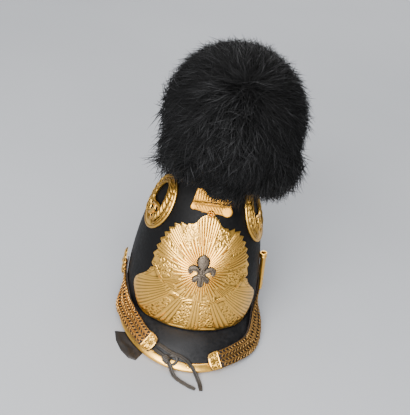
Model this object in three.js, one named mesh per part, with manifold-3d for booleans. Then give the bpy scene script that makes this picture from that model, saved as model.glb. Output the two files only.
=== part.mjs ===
// Cavalry helmet: a tall leather skull with a brass-bound peak, a gilt sunburst plate, pierced side
// wreaths, a bearskin roll on a brass crest, and chin straps covered with gilt mail.
// Millimetres, +Z up, front towards -Y, standing on its rim at Z = 0.
// "left" and "right" are as seen from the front, so left is -X.
import * as THREE from 'three';
import { LoftGeometry } from 'three/addons/geometries/LoftGeometry.js';
import { ParametricGeometry } from 'three/addons/geometries/ParametricGeometry.js';
import { mergeVertices } from 'three/addons/utils/BufferGeometryUtils.js';
import Module from 'manifold-3d';

const wasm = await Module();
wasm.setup();

// Clearance between pieces that touch
const GAP = 0.3;

// Middle of the helmet's foot in plan, which becomes the frame's origin
const ORIGIN = { across: 2.4, along: 9.8 };

// Outside of the leather skull: one row for each level, from the rim up
const SKULL_SECTIONS = [
  { height: 0, halfWidth: 92, front: 111, back: 118 },
  { height: 40, halfWidth: 94, front: 112, back: 120 },
  { height: 80, halfWidth: 91, front: 107, back: 117 },
  { height: 120, halfWidth: 85, front: 97, back: 111 },
  { height: 160, halfWidth: 75, front: 82, back: 99 },
  { height: 195, halfWidth: 61, front: 65, back: 82 },
  { height: 218, halfWidth: 44, front: 47, back: 61 },
  { height: 234, halfWidth: 22, front: 23, back: 32 },
  { height: 239, halfWidth: 6, front: 6, back: 8 },
];
const SKULL_WALL = 2.8;
const SKULL_SIDES = 32;
const SKULL_LEVELS = [0, 40, 75, 108, 138, 164, 186, 205, 220, 231, 239];

// Peak: its plan edge is half an ellipse, and it slopes down from its seam on the skull
const PEAK_HALF_ANGLE = 92;
const PEAK_EDGE = { halfWidth: 100, centre: -40, reach: 118 };
const PEAK_SEAM_SHARE = 0.79;
const PEAK_SEAM = { front: 35, side: 25 };
const PEAK_EDGE_HEIGHT = { front: 4.8, side: 8.5 };
const PEAK_BULGE = { rise: 4, depth: 50 };
const PEAK_THICKNESS = 2.5;
const PEAK_STEPS = 22;
const BINDING = { upper: 10, lower: 5, metal: 1.1, nose: 1.6, fullFoldDepth: 30 };
const BINDING_RIVET = { radius: 2.2, rise: 1, angles: [0, -60] };

// Front plate: reach of its edge from the badge, by bearing from straight up, alike on both sides
const PLATE_CENTRE_HEIGHT = 126;
const PLATE_METAL = 0.9;
const PLATE_EDGE = [
  { bearing: 0, reach: 71 },
  { bearing: 9, reach: 67 },
  { bearing: 18, reach: 60 },
  { bearing: 27, reach: 61 },
  { bearing: 40, reach: 67 },
  { bearing: 60, reach: 69 },
  { bearing: 84, reach: 74 },
  { bearing: 95, reach: 79 },
  { bearing: 106, reach: 82 },
  { bearing: 112, reach: 94 },
  { bearing: 119, reach: 128 },
  { bearing: 128, reach: 132 },
  { bearing: 138, reach: 127 },
  { bearing: 148, reach: 108 },
  { bearing: 158, reach: 97 },
  { bearing: 169, reach: 90 },
  { bearing: 180, reach: 88 },
];
const PLATE_DIRECTIONS = 64;
const PLATE_RINGS = [0, 0.22, 0.4, 0.56, 0.71, 0.86, 1];
const PLATE_SERRATION = { depth: 2.4, lastBearing: 112 };
const PLATE_RAY_RISE = 1.0;
const PLATE_BUNDLES = 8;

// Badge: a lily of three petals with a cross band and a foot
const LILY = {
  rise: 2.6, clearance: 1.4, petalTop: 25, disc: 9.2, discHeight: 12.8, sideReach: 17.5, footDrop: 21,
};
const LILY_BAND = { width: 12, low: -6.5, high: -2.5 };

// Crest: comb on the midline with a moulded mask at its front end
const COMB = { width: 24, front: -56, back: 116, backHeight: 150, rise: 12 };
const MASK = {
  topHalfWidth: 22, bottomHalfWidth: 28, height: 34, metal: 3, bottomHeight: 197, seatHeight: 198,
};
const MASK_LOBES = {
  left: { radius: 4, up: 9, scallop: -1 },
  right: { radius: 7, up: 7, scallop: 4 },
};
const MASK_LEAN = 24;
const CREST_RIVET = { radius: 5, rise: 3, lift: 6.4, height: 197 };

// Bearskin: one row for each section of the roll, from its front end along the crest to its tail.
// It has sagged to the right
const FUR_SECTIONS = [
  { across: 10, along: -108, height: 305, radius: 20 },
  { across: 10, along: -99, height: 307, radius: 48 },
  { across: 12, along: -78, height: 313, radius: 71 },
  { across: 13, along: -44, height: 317, radius: 86 },
  { across: 13, along: -6, height: 316, radius: 90 },
  { across: 13, along: 34, height: 301, radius: 86 },
  { across: 9, along: 74, height: 268, radius: 77 },
  { across: 4, along: 102, height: 222, radius: 68 },
  { across: 0, along: 117, height: 178, radius: 58 },
  { across: 0, along: 122, height: 140, radius: 40 },
  { across: 0, along: 122, height: 116, radius: 12 },
];
const FUR_SIDES = 16;
const FUR_LOBES = [
  { across: 53, along: -54, height: 284, radius: 50 },
  { across: -30, along: -54, height: 288, radius: 50 },
  { across: 8, along: -67, height: 264, radius: 40 },
  { across: -56, along: 34, height: 208, radius: 24 },
];
// Locks stream away from a whorl at the upper front, in rows round the roll
const FUR_WHORL = { across: 13, along: -62, height: 378 };
const FUR_LOCK = { length: 46, halfWidth: 19, thickness: 6, rows: 6, spacing: 11, lowestTip: 226 };
const FUR_LOCK_STATIONS = [
  { run: -0.2, rise: -14, width: 0.8 },
  { run: 0.15, rise: 0.5, width: 1 },
  { run: 0.6, rise: 1.5, width: 0.75 },
  { run: 1, rise: -7, width: 0.2 },
];
const FUR_LOCK_SHARES = { first: 0.12, last: 0.8 };

// Side wreaths: centre by its angle from the front, the oval opening, set back and up from the centre,
// and the scroll with its holes that fills the opening's foot
const WREATH = { angle: 73, height: 177, halfLength: 32, halfHeight: 36, rise: 3.6, leaves: 12 };
const WREATH_STEPS = 28;
const WREATH_OPENING = { along: 3, up: 0.5, halfLength: 15, halfHeight: 26.5 };
const WREATH_SCROLL = { rise: 2.2, crown: -1, overlap: 1.5 };
const WREATH_HOLES = [
  { along: 7, up: -14, radius: 4.6 },
  { along: -6.5, up: -8, radius: 3.6 },
  { along: -2, up: -19.5, radius: 3 },
];

// Bosses that hold the chin straps
const BOSS = { angle: 95, height: 44, radius: 20, rise: 5.5 };

// Plume socket, standing upright on the skull just ahead of the right boss
const SOCKET = { angle: 80, foot: 48, length: 64, lift: 5.2, collar: 5, tube: 4.2, neck: 2.4, bore: 3.4 };

// Chin straps: stations of the middle line on the skull's side and then on the peak
const STRAP_LEFT = [
  { on: 'skull', angle: 96, height: 46 },
  { on: 'skull', angle: 91, height: 38.5 },
  { on: 'skull', angle: 86, height: 31 },
  { on: 'peak', angle: 84, reach: 0.52 },
  { on: 'peak', angle: 72, reach: 0.52 },
  { on: 'peak', angle: 58, reach: 0.55 },
  { on: 'peak', angle: 45, reach: 0.64 },
  { on: 'peak', angle: 30, reach: 0.72 },
];
const STRAP_RIGHT = [
  { on: 'skull', angle: 96, height: 46 },
  { on: 'skull', angle: 91, height: 38.5 },
  { on: 'skull', angle: 86, height: 31 },
  { on: 'peak', angle: 84, reach: 0.55 },
  { on: 'peak', angle: 74, reach: 0.73 },
  { on: 'peak', angle: 64, reach: 0.86 },
  { on: 'peak', angle: 54, reach: 0.86 },
  { on: 'peak', angle: 43, reach: 0.81 },
  { on: 'peak', angle: 31, reach: 0.8 },
  { on: 'peak', angle: 16, reach: 0.84 },
];
const STRAP = { rootWidth: 30, endWidth: 23, leather: 1.6, liftOnSkull: 0.8, liftOnPeak: 2.1 };
const MAIL = { metal: 1.8, dip: 0.6, pitch: 5.5, start: 0.04, inset: 1 };
const TIP = { length: 17, metal: 1.6, overhang: 1, steps: 6 };

// Flat leather thongs tied at the left tip: points of their middle lines
const THONG = { width: 5.2, thickness: 2.4 };
const LACE_UPPER = [
  [-44.2, -130.3, 21.6],
  [-38, -134.6, 22],
  [-30, -140, 21],
  [-22, -144.6, 20.2],
  [-13, -147.6, 19.9],
  [-5, -151, 18],
  [3, -156, 13.6],
  [9.5, -162, 7.6],
  [14, -168.5, 2.6],
  [17, -177, 1.6],
  [18.6, -188, 1.6],
];
const LACE_LOWER = [
  [-47.6, -136.4, 17.2],
  [-42, -140.6, 17],
  [-36, -145.4, 16.6],
  [-31, -150, 15.2],
  [-27, -154.6, 13],
  [-23.4, -160, 8.6],
  [-19.6, -165.4, 3.6],
  [-14.6, -170.6, 1.6],
  [-7, -176.6, 1.6],
  [1.5, -182, 1.6],
  [11, -186.6, 1.6],
];
// Knot drawn tight round the lower thong before it crosses the peak's edge
const KNOT = { centre: [-31, -150, 15.3], run: [9, -9.2, -3.6], radius: 5, length: 8, flatness: 0.7 };

// Folded tab of the lining that lies on the ground beside the peak's left edge: corners in plan
const TAB_THICKNESS = 2.6;
const TAB_CORNERS = [
  [-102, -93], [-99, -111], [-91, -129], [-80, -142], [-70, -145], [-60, -128], [-75, -104], [-86, -92],
];

// Finishes
const GILT = { color: 0xd9a24a, roughness: 0.32, metalness: 1.0 };
const BLACK_LEATHER = { color: 0x14141a, roughness: 0.42, metalness: 0.0 };
const BROWN_LEATHER = { color: 0x2e221b, roughness: 0.7, metalness: 0.0 };
const GREY_LEATHER = { color: 0x4a4541, roughness: 0.75, metalness: 0.0 };
const OLD_SILVER = { color: 0x6f6a70, roughness: 0.45, metalness: 0.9 };
const BLACK_FUR = { color: 0x0b0b0f, roughness: 0.9, metalness: 0.0 };

const radians = THREE.MathUtils.degToRad;
const helmet = new THREE.Group();

// Merges the shared corners of a closed surface, drops its slivers and turns its faces outwards
function closed(geometry) {
  const bare = new THREE.BufferGeometry();
  bare.setAttribute('position', geometry.getAttribute('position'));
  bare.setIndex(geometry.getIndex());
  const merged = mergeVertices(bare, 1e-3);
  const position = merged.getAttribute('position');
  const corner = (i) => new THREE.Vector3().fromBufferAttribute(position, i);
  const source = merged.getIndex().array;
  const kept = [];
  let volume = 0;
  for (let i = 0; i < source.length; i += 3) {
    const [a, b, c] = source.slice(i, i + 3);
    if (a === b || b === c || c === a) continue;
    kept.push(a, b, c);
    volume += corner(a).dot(corner(b).cross(corner(c)));
  }
  merged.setIndex(volume < 0 ? kept.reverse() : kept);
  return merged;
}

function solid(geometry) {
  const surface = closed(geometry);
  return new wasm.Manifold(new wasm.Mesh({
    numProp: 3,
    vertProperties: new Float32Array(surface.getAttribute('position').array),
    triVerts: new Uint32Array(surface.getIndex().array),
  }));
}

function geometryOf(body) {
  const mesh = body.getMesh();
  const geometry = new THREE.BufferGeometry();
  geometry.setAttribute('position', new THREE.BufferAttribute(mesh.vertProperties, 3));
  geometry.setIndex(new THREE.BufferAttribute(mesh.triVerts, 1));
  return geometry;
}

function addPiece(name, geometry, finish) {
  const surface = closed(geometry);
  surface.translate(-ORIGIN.across, -ORIGIN.along, 0);
  surface.computeVertexNormals();
  const piece = new THREE.Mesh(surface, new THREE.MeshStandardMaterial(finish));
  piece.name = name;
  helmet.add(piece);
}

// Skin through closed sections, whose points are put in the order that faces the skin outwards
function loft(sections) {
  const [first, next] = sections;
  const middle = (ring) => ring
    .reduce((sum, point) => sum.add(point), new THREE.Vector3())
    .divideScalar(ring.length);
  const normal = first.reduce((sum, point, i) =>
    sum.add(point.clone().cross(first[(i + 1) % first.length])), new THREE.Vector3());
  const facesBack = normal.dot(middle(next).sub(middle(first))) < 0;
  const ordered = facesBack ? sections.map((ring) => [...ring].reverse()) : sections;
  return new LoftGeometry(ordered, { closed: true, capStart: true, capEnd: true });
}

// Moves every corner of a geometry through a map from its own x, y and z
function bend(geometry, place) {
  const position = geometry.getAttribute('position');
  for (let i = 0; i < position.count; i += 1) {
    const point = place(position.getX(i), position.getY(i), position.getZ(i));
    position.setXYZ(i, point.x, point.y, point.z);
  }
  return geometry;
}

// Smooth value of a table's column at a place along its key column
function tableValue(rows, key, at, column) {
  let i = 0;
  while (i < rows.length - 2 && rows[i + 1][key] < at) i += 1;
  const [a, b] = [rows[i], rows[i + 1]];
  const before = rows[Math.max(i - 1, 0)];
  const after = rows[Math.min(i + 2, rows.length - 1)];
  const span = b[key] - a[key];
  const t = THREE.MathUtils.clamp((at - a[key]) / span, 0, 1);
  const leave = span * (b[column] - before[column]) / (b[key] - before[key]);
  const arrive = span * (after[column] - a[column]) / (after[key] - a[key]);
  const fromA = (1 + 2 * t) * (1 - t) ** 2 * a[column] + t * (1 - t) ** 2 * leave;
  const fromB = t ** 2 * (3 - 2 * t) * b[column] - t ** 2 * (1 - t) * arrive;
  return fromA + fromB;
}

function skullValue(height, column) {
  return tableValue(SKULL_SECTIONS, 'height', height, column);
}

// Point of the skull's outside at an angle from the front, positive towards the right
function skullSurface(angle, height) {
  const depth = skullValue(height, Math.cos(angle) > 0 ? 'front' : 'back');
  return new THREE.Vector3(
    skullValue(height, 'halfWidth') * Math.sin(angle), -depth * Math.cos(angle), height);
}

function skullNormal(angle, height) {
  const turn = 0.01;
  const rise = 1;
  const around = skullSurface(angle + turn, height).sub(skullSurface(angle - turn, height));
  const up = skullSurface(angle, height + rise).sub(skullSurface(angle, height - rise));
  return around.cross(up).normalize();
}

function onSkull(angle, height, lift) {
  return skullSurface(angle, height).addScaledVector(skullNormal(angle, height), lift);
}

// Places by a distance along the skull's surface: from the front line, or back from a wreath's middle
function onFront(across, height, lift) {
  const radius = (skullValue(height, 'halfWidth') + skullValue(height, 'front')) / 2;
  return onSkull(across / radius, height, lift);
}

function onSide(side, along, height, lift) {
  const radius = (skullValue(height, 'halfWidth') + skullValue(height, 'front')) / 2;
  return onSkull(side * (radians(WREATH.angle) + along / radius), height, lift);
}

// Filled form of the skull, grown outwards by a clearance, or shrunk where it is negative
function skullForm(grow, footDrop = 0) {
  const sections = SKULL_LEVELS.map((height, level) => {
    const ring = [];
    for (let i = 0; i < SKULL_SIDES; i += 1) {
      const point = skullSurface(i / SKULL_SIDES * Math.PI * 2, height);
      const outward = point.clone().setZ(0).normalize();
      ring.push(point.addScaledVector(outward, grow).setZ(level === 0 ? -footDrop : height));
    }
    return ring;
  });
  const top = sections.at(-1);
  top.forEach((point) => point.setZ(point.z + grow));
  return solid(loft(sections));
}

function buildSkull() {
  const hollow = skullForm(-SKULL_WALL, 1);
  addPiece('skull', geometryOf(skullForm(0).subtract(hollow)), BLACK_LEATHER);
}

// Point of the peak's upper face: reach runs from 0 at the seam to 1 at the free edge
function peakSurface(angle, reach) {
  const sideShare = Math.sin(angle) ** 2;
  const seamHeight = THREE.MathUtils.lerp(PEAK_SEAM.front, PEAK_SEAM.side, sideShare);
  const edgeHeight = THREE.MathUtils.lerp(PEAK_EDGE_HEIGHT.front, PEAK_EDGE_HEIGHT.side, sideShare);
  const seam = skullSurface(angle * PEAK_SEAM_SHARE, seamHeight);
  const edge = new THREE.Vector3(
    PEAK_EDGE.halfWidth * Math.sin(angle),
    PEAK_EDGE.centre - PEAK_EDGE.reach * Math.cos(angle),
    edgeHeight);
  const depth = seam.distanceTo(edge);
  const point = seam.lerp(edge, reach);
  point.z += PEAK_BULGE.rise * (depth / PEAK_BULGE.depth) ** 2 * Math.sin(Math.PI * reach);
  return point;
}

// Directions of the peak's face: outward along its slope, and square to it
function peakFrame(angle, reach) {
  const turn = 0.01;
  const step = 0.01;
  const around = peakSurface(angle + turn, reach).sub(peakSurface(angle - turn, reach));
  const outward = peakSurface(angle, reach + step).sub(peakSurface(angle, reach - step)).normalize();
  const normal = outward.clone().cross(around).normalize();
  return { outward, normal };
}

function peakSections(sectionAt) {
  const limit = radians(PEAK_HALF_ANGLE);
  return Array.from({ length: PEAK_STEPS + 1 }, (_, i) =>
    sectionAt(THREE.MathUtils.lerp(-limit, limit, i / PEAK_STEPS)));
}

function buildPeak(skullClearance) {
  const reaches = [-0.08, 0.2, 0.45, 0.7, 1];
  const sections = peakSections((angle) => {
    const upper = reaches.map((reach) => peakSurface(angle, reach));
    const lower = reaches.map((reach) =>
      peakSurface(angle, reach).addScaledVector(peakFrame(angle, reach).normal, -PEAK_THICKNESS));
    return [...upper, ...lower.reverse()];
  });
  addPiece('peak', geometryOf(solid(loft(sections)).subtract(skullClearance)), BLACK_LEATHER);
}

// Brass strip folded over the peak's edge, with small domed rivets
function buildBinding(skullClearance) {
  const inner = 1.5 * GAP;
  const upper = inner + BINDING.metal;
  const under = -PEAK_THICKNESS - 1.5 * GAP;
  const profile = [
    { out: -BINDING.upper, up: inner },
    { out: GAP, up: inner },
    { out: GAP, up: under },
    { out: -BINDING.lower, up: under },
    { out: -BINDING.lower, up: under - BINDING.metal },
    { out: 0.8, up: under - BINDING.metal },
    { out: GAP + BINDING.nose, up: -PEAK_THICKNESS / 2 },
    { out: 0.8, up: upper },
    { out: -BINDING.upper, up: upper },
  ];
  const sections = peakSections((angle) => {
    const edge = peakSurface(angle, 1);
    const { outward, normal } = peakFrame(angle, 1);
    const fold = Math.min(1, edge.distanceTo(peakSurface(angle, 0)) / BINDING.fullFoldDepth);
    return profile.map(({ out, up }) => edge.clone()
      .addScaledVector(outward, out < 0 ? out * fold : out)
      .addScaledVector(normal, up));
  });
  let body = solid(loft(sections)).subtract(skullClearance);
  for (const degrees of BINDING_RIVET.angles) {
    const angle = radians(degrees);
    const { outward, normal } = peakFrame(angle, 1);
    const seat = peakSurface(angle, 1)
      .addScaledVector(outward, -BINDING.upper / 2)
      .addScaledVector(normal, upper);
    const dome = new THREE.SphereGeometry(BINDING_RIVET.radius, 8, 4);
    dome.scale(1, 1, BINDING_RIVET.rise / BINDING_RIVET.radius);
    dome.applyQuaternion(new THREE.Quaternion().setFromUnitVectors(new THREE.Vector3(0, 0, 1), normal));
    dome.translate(seat.x, seat.y, seat.z);
    body = body.add(solid(dome).subtract(skullClearance));
  }
  addPiece('peak_binding', geometryOf(body), GILT);
}

// Bearing from straight up, folded so that both sides read the same half of the table
function foldedBearing(bearing) {
  const turn = ((bearing % 360) + 360) % 360;
  return turn > 180 ? 360 - turn : turn;
}

function plateReach(direction) {
  const bearing = foldedBearing(direction * 360 / PLATE_DIRECTIONS);
  const smooth = tableValue(PLATE_EDGE, 'bearing', bearing, 'reach');
  const notched = direction % 2 === 1 && bearing < PLATE_SERRATION.lastBearing;
  return notched ? smooth - PLATE_SERRATION.depth : smooth;
}

// Height of the stamped rays and panels over the plate's sheet
function plateRelief(direction, share) {
  const bearing = radians(direction * 360 / PLATE_DIRECTIONS);
  const inBundle = Math.cos(bearing * PLATE_BUNDLES) > 0;
  const pastBadge = THREE.MathUtils.smoothstep(share, 0.32, 0.5);
  const atEdge = THREE.MathUtils.smoothstep(share, 0.9, 1);
  const ridge = direction % 2 === 0 ? 1 : 0.25;
  const panel = 0.75 * Math.sin(Math.PI * share) ** 2;
  return PLATE_RAY_RISE * pastBadge * (1 - atEdge) * (inBundle ? ridge : panel);
}

function buildFrontPlate(skullClearance) {
  const inner = PLATE_RINGS.map((share) => ({ share, outside: false }));
  const outer = [...PLATE_RINGS].reverse().map((share) => ({ share, outside: true }));
  const rings = [...inner, ...outer];
  const surface = (u, v, target) => {
    const direction = Math.round(u * PLATE_DIRECTIONS) % PLATE_DIRECTIONS;
    const bearing = direction / PLATE_DIRECTIONS * Math.PI * 2;
    const { share, outside } = rings[Math.round(v * (rings.length - 1))];
    const distance = share * plateReach(direction);
    const height = PLATE_CENTRE_HEIGHT + distance * Math.cos(bearing);
    const lift = outside ? PLATE_METAL + plateRelief(direction, share) : 0;
    target.copy(onFront(distance * Math.sin(bearing), height, 3 * GAP + lift));
  };
  const sheet = new ParametricGeometry(surface, PLATE_DIRECTIONS, rings.length - 1);
  addPiece('front_plate', geometryOf(solid(sheet).subtract(skullClearance)), GILT);
}

// Lily badge: petals, cross band and foot extruded flat, bent to the plate and joined
function buildLily() {
  const middle = new THREE.Shape();
  const [discTop, discFoot] = [radians(78), radians(62)];
  const neck = {
    x: LILY.disc * Math.cos(discFoot),
    y: LILY.discHeight - LILY.disc * Math.sin(discFoot),
  };
  middle.moveTo(0, LILY.petalTop);
  middle.absarc(0, LILY.discHeight, LILY.disc, discTop, -discFoot, true);
  middle.bezierCurveTo(3.2, 2, 3, -1, 3, -4);
  middle.bezierCurveTo(6, -10, 5, -17, 0, -LILY.footDrop);
  middle.bezierCurveTo(-5, -17, -6, -10, -3, -4);
  middle.bezierCurveTo(-3, -1, -3.2, 2, -neck.x, neck.y);
  middle.absarc(0, LILY.discHeight, LILY.disc, Math.PI + discFoot, Math.PI - discTop, true);
  const band = new THREE.Shape();
  band.moveTo(-LILY_BAND.width / 2, LILY_BAND.low);
  band.lineTo(LILY_BAND.width / 2, LILY_BAND.low);
  band.lineTo(LILY_BAND.width / 2, LILY_BAND.high);
  band.lineTo(-LILY_BAND.width / 2, LILY_BAND.high);
  const sidePetal = (side) => {
    const shape = new THREE.Shape();
    shape.moveTo(side * 2, -3);
    shape.bezierCurveTo(side * 3, 4, side * 7, 9, side * 12, 9);
    shape.bezierCurveTo(side * 17, 9, side * (LILY.sideReach + 1), 3, side * LILY.sideReach, -1);
    shape.bezierCurveTo(side * 16.5, -5, side * 12, -5, side * 11.5, -1.5);
    shape.bezierCurveTo(side * 12, 1, side * 9, 1, side * 8, -2);
    shape.bezierCurveTo(side * 13, -10, side * 10, -15, side * 5, -14);
    shape.lineTo(side * 3.5, -8);
    return shape;
  };
  const lift = PLATE_METAL + LILY.clearance;
  const place = (x, y, z) => onFront(x, PLATE_CENTRE_HEIGHT + y, lift + z);
  const raise = (shape, depth) => {
    const flat = new THREE.ExtrudeGeometry(shape, { depth, bevelEnabled: false, curveSegments: 2 });
    return solid(bend(flat, place));
  };
  const body = raise(middle, LILY.rise)
    .add(raise(sidePetal(1), LILY.rise * 0.8))
    .add(raise(sidePetal(-1), LILY.rise * 0.8))
    .add(raise(band, LILY.rise * 1.25));
  addPiece('fleur_de_lys', geometryOf(body), OLD_SILVER);
}

// Side profile of the comb, with a shared clearance so that the fur can be cut back from it
function combForm(grow) {
  const height = (along, angle) => {
    const rows = SKULL_LEVELS.map((level) => skullSurface(angle, level));
    const above = rows.filter((point) => Math.abs(point.y) >= Math.abs(along));
    return above.at(-1).z;
  };
  const profile = new THREE.Shape();
  const crown = SKULL_LEVELS.at(-1) + COMB.rise + grow;
  profile.moveTo(COMB.front - grow, MASK.bottomHeight + 6 - grow);
  profile.lineTo(COMB.front - grow, height(COMB.front, 0) + COMB.rise * 2 + grow);
  profile.quadraticCurveTo(-30, crown + 6, 4, crown);
  profile.bezierCurveTo(50, crown, 88, 214 + grow, COMB.back + grow, COMB.backHeight - grow);
  profile.lineTo(COMB.back - 40, COMB.backHeight - grow);
  profile.lineTo(0, 190);
  const width = COMB.width + 2 * grow;
  const plate = new THREE.ExtrudeGeometry(profile, { depth: width, bevelEnabled: false, curveSegments: 6 });
  return solid(bend(plate, (x, y, z) => new THREE.Vector3(z - width / 2, x, y)));
}

// Moulded mask: a trapezoid narrowing upwards with a round lobe at each lower corner, the left one smaller
function maskForm(grow) {
  const top = MASK.topHalfWidth + grow;
  const [outerTurn, innerTurn] = [radians(45), radians(-108)];
  const lobe = ({ radius, up, scallop }) => {
    const size = radius + grow;
    const out = MASK.bottomHalfWidth - radius;
    const inner = { out: out + size * Math.cos(innerTurn), up: up + size * Math.sin(innerTurn) };
    return { size, out, up, inner, bend: { out: inner.out / 2, up: inner.up + scallop } };
  };
  const left = lobe(MASK_LOBES.left);
  const right = lobe(MASK_LOBES.right);
  const shape = new THREE.Shape();
  shape.moveTo(-top, MASK.height + grow);
  shape.absarc(-left.out, left.up, left.size, Math.PI - outerTurn, 3 * Math.PI - innerTurn, false);
  shape.quadraticCurveTo(-left.bend.out, left.bend.up, 0, 1 - grow);
  shape.quadraticCurveTo(right.bend.out, right.bend.up, right.inner.out, right.inner.up);
  shape.absarc(right.out, right.up, right.size, innerTurn, outerTurn, false);
  shape.lineTo(top, MASK.height + grow);
  const depth = MASK.metal + 2 * grow;
  const flat = new THREE.ExtrudeGeometry(shape, { depth, bevelEnabled: false, curveSegments: 4 });
  flat.translate(0, 0, -grow);
  flat.rotateX(Math.PI / 2 - radians(MASK_LEAN));
  const seat = skullSurface(0, MASK.seatHeight);
  flat.translate(0, seat.y - MASK.metal, MASK.bottomHeight);
  return solid(flat);
}

function crestForm(grow, skullClearance) {
  return combForm(grow).add(maskForm(grow)).subtract(skullClearance);
}

function buildCrestRivet() {
  const { radius, rise, lift, height } = CREST_RIVET;
  const profile = [
    [0, 0], [radius, 0], [radius * 0.88, rise * 0.47], [radius * 0.48, rise * 0.87], [0, rise],
  ].map(([out, up]) => new THREE.Vector2(out, up));
  const dome = new THREE.LatheGeometry(profile, 10);
  const normal = skullNormal(0, height);
  const seat = onSkull(0, height, lift);
  dome.applyQuaternion(new THREE.Quaternion().setFromUnitVectors(new THREE.Vector3(0, 1, 0), normal));
  dome.translate(seat.x, seat.y, seat.z);
  addPiece('crest_rivet', dome, GILT);
}

// Frame of the fur roll at a share of its length: middle, radius, and the way it runs
const furLine = new THREE.CatmullRomCurve3(
  FUR_SECTIONS.map(({ across, along, height }) => new THREE.Vector3(across, along, height)));

function furFrame(share) {
  const step = share * (FUR_SECTIONS.length - 1);
  const rows = FUR_SECTIONS.map(({ radius }, index) => ({ index, radius }));
  return {
    middle: furLine.getPoint(share),
    radius: tableValue(rows, 'index', step, 'radius'),
    run: furLine.getTangent(share),
  };
}

function furPoint(share, angle) {
  const { middle, radius, run } = furFrame(share);
  const side = new THREE.Vector3(1, 0, 0);
  const up = side.clone().cross(run).normalize();
  return middle
    .addScaledVector(side, radius * Math.sin(angle))
    .addScaledVector(up, radius * Math.cos(angle));
}

function furNormal(share, angle) {
  const step = 0.01;
  const along = furPoint(share + step, angle).sub(furPoint(share - step, angle));
  const around = furPoint(share, angle + step).sub(furPoint(share, angle - step));
  return around.cross(along).normalize();
}

function furCore() {
  const sections = FUR_SECTIONS.map((_, i) => {
    const share = i / (FUR_SECTIONS.length - 1);
    return Array.from({ length: FUR_SIDES }, (__, j) => furPoint(share, j / FUR_SIDES * Math.PI * 2));
  });
  return solid(loft(sections));
}

// One flat tapered lock: leaves the roll and streams over it, away from the whorl
function furLock(share, angle, size) {
  const point = furPoint(share, angle);
  const outward = furNormal(share, angle);
  const whorl = new THREE.Vector3(FUR_WHORL.across, FUR_WHORL.along, FUR_WHORL.height);
  const stream = point.clone().sub(whorl).projectOnPlane(outward).normalize();
  const flat = stream.clone().cross(outward);
  const sections = FUR_LOCK_STATIONS.map(({ run, rise, width }) => {
    const middle = point.clone()
      .addScaledVector(outward, rise)
      .addScaledVector(stream, run * FUR_LOCK.length * size);
    const wide = FUR_LOCK.halfWidth * size * width;
    const thick = FUR_LOCK.thickness * width;
    return [[1, 0], [0, 1], [-1, 0], [0, -1]].map(([side, up]) => middle.clone()
      .addScaledVector(flat, wide * side)
      .addScaledVector(outward, thick * up));
  });
  const lowest = Math.min(...sections.flat().map(({ z }) => z));
  return { body: solid(loft(sections)), lowest };
}

function buildBearskin(skullClearance) {
  let body = furCore();
  for (const lobe of FUR_LOBES) {
    const ball = new THREE.SphereGeometry(lobe.radius, 10, 6);
    ball.translate(lobe.across, lobe.along, lobe.height);
    body = body.add(solid(ball));
  }
  for (let row = 0; row < FUR_LOCK.rows; row += 1) {
    const share = THREE.MathUtils.lerp(
      FUR_LOCK_SHARES.first, FUR_LOCK_SHARES.last, row / (FUR_LOCK.rows - 1));
    const { middle, radius } = furFrame(share);
    const count = Math.round(radius / FUR_LOCK.spacing);
    for (let i = 0; i < count; i += 1) {
      const angle = (i + (row % 2) / 2) / count * Math.PI * 2;
      const size = 0.85 + 0.25 * Math.abs(Math.sin(7 * row + 3 * i));
      const lock = furLock(share, angle, size);
      const overSkull = middle.y < SKULL_SECTIONS[0].back / 2;
      if (overSkull && lock.lowest < FUR_LOCK.lowestTip) continue;
      body = body.add(lock.body);
    }
  }
  body = body.subtract(skullClearance).subtract(crestForm(2 * GAP, skullClearance));
  const [roll] = body.decompose().sort((a, b) => b.volume() - a.volume());
  addPiece('bearskin', geometryOf(roll), BLACK_FUR);
}

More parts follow.
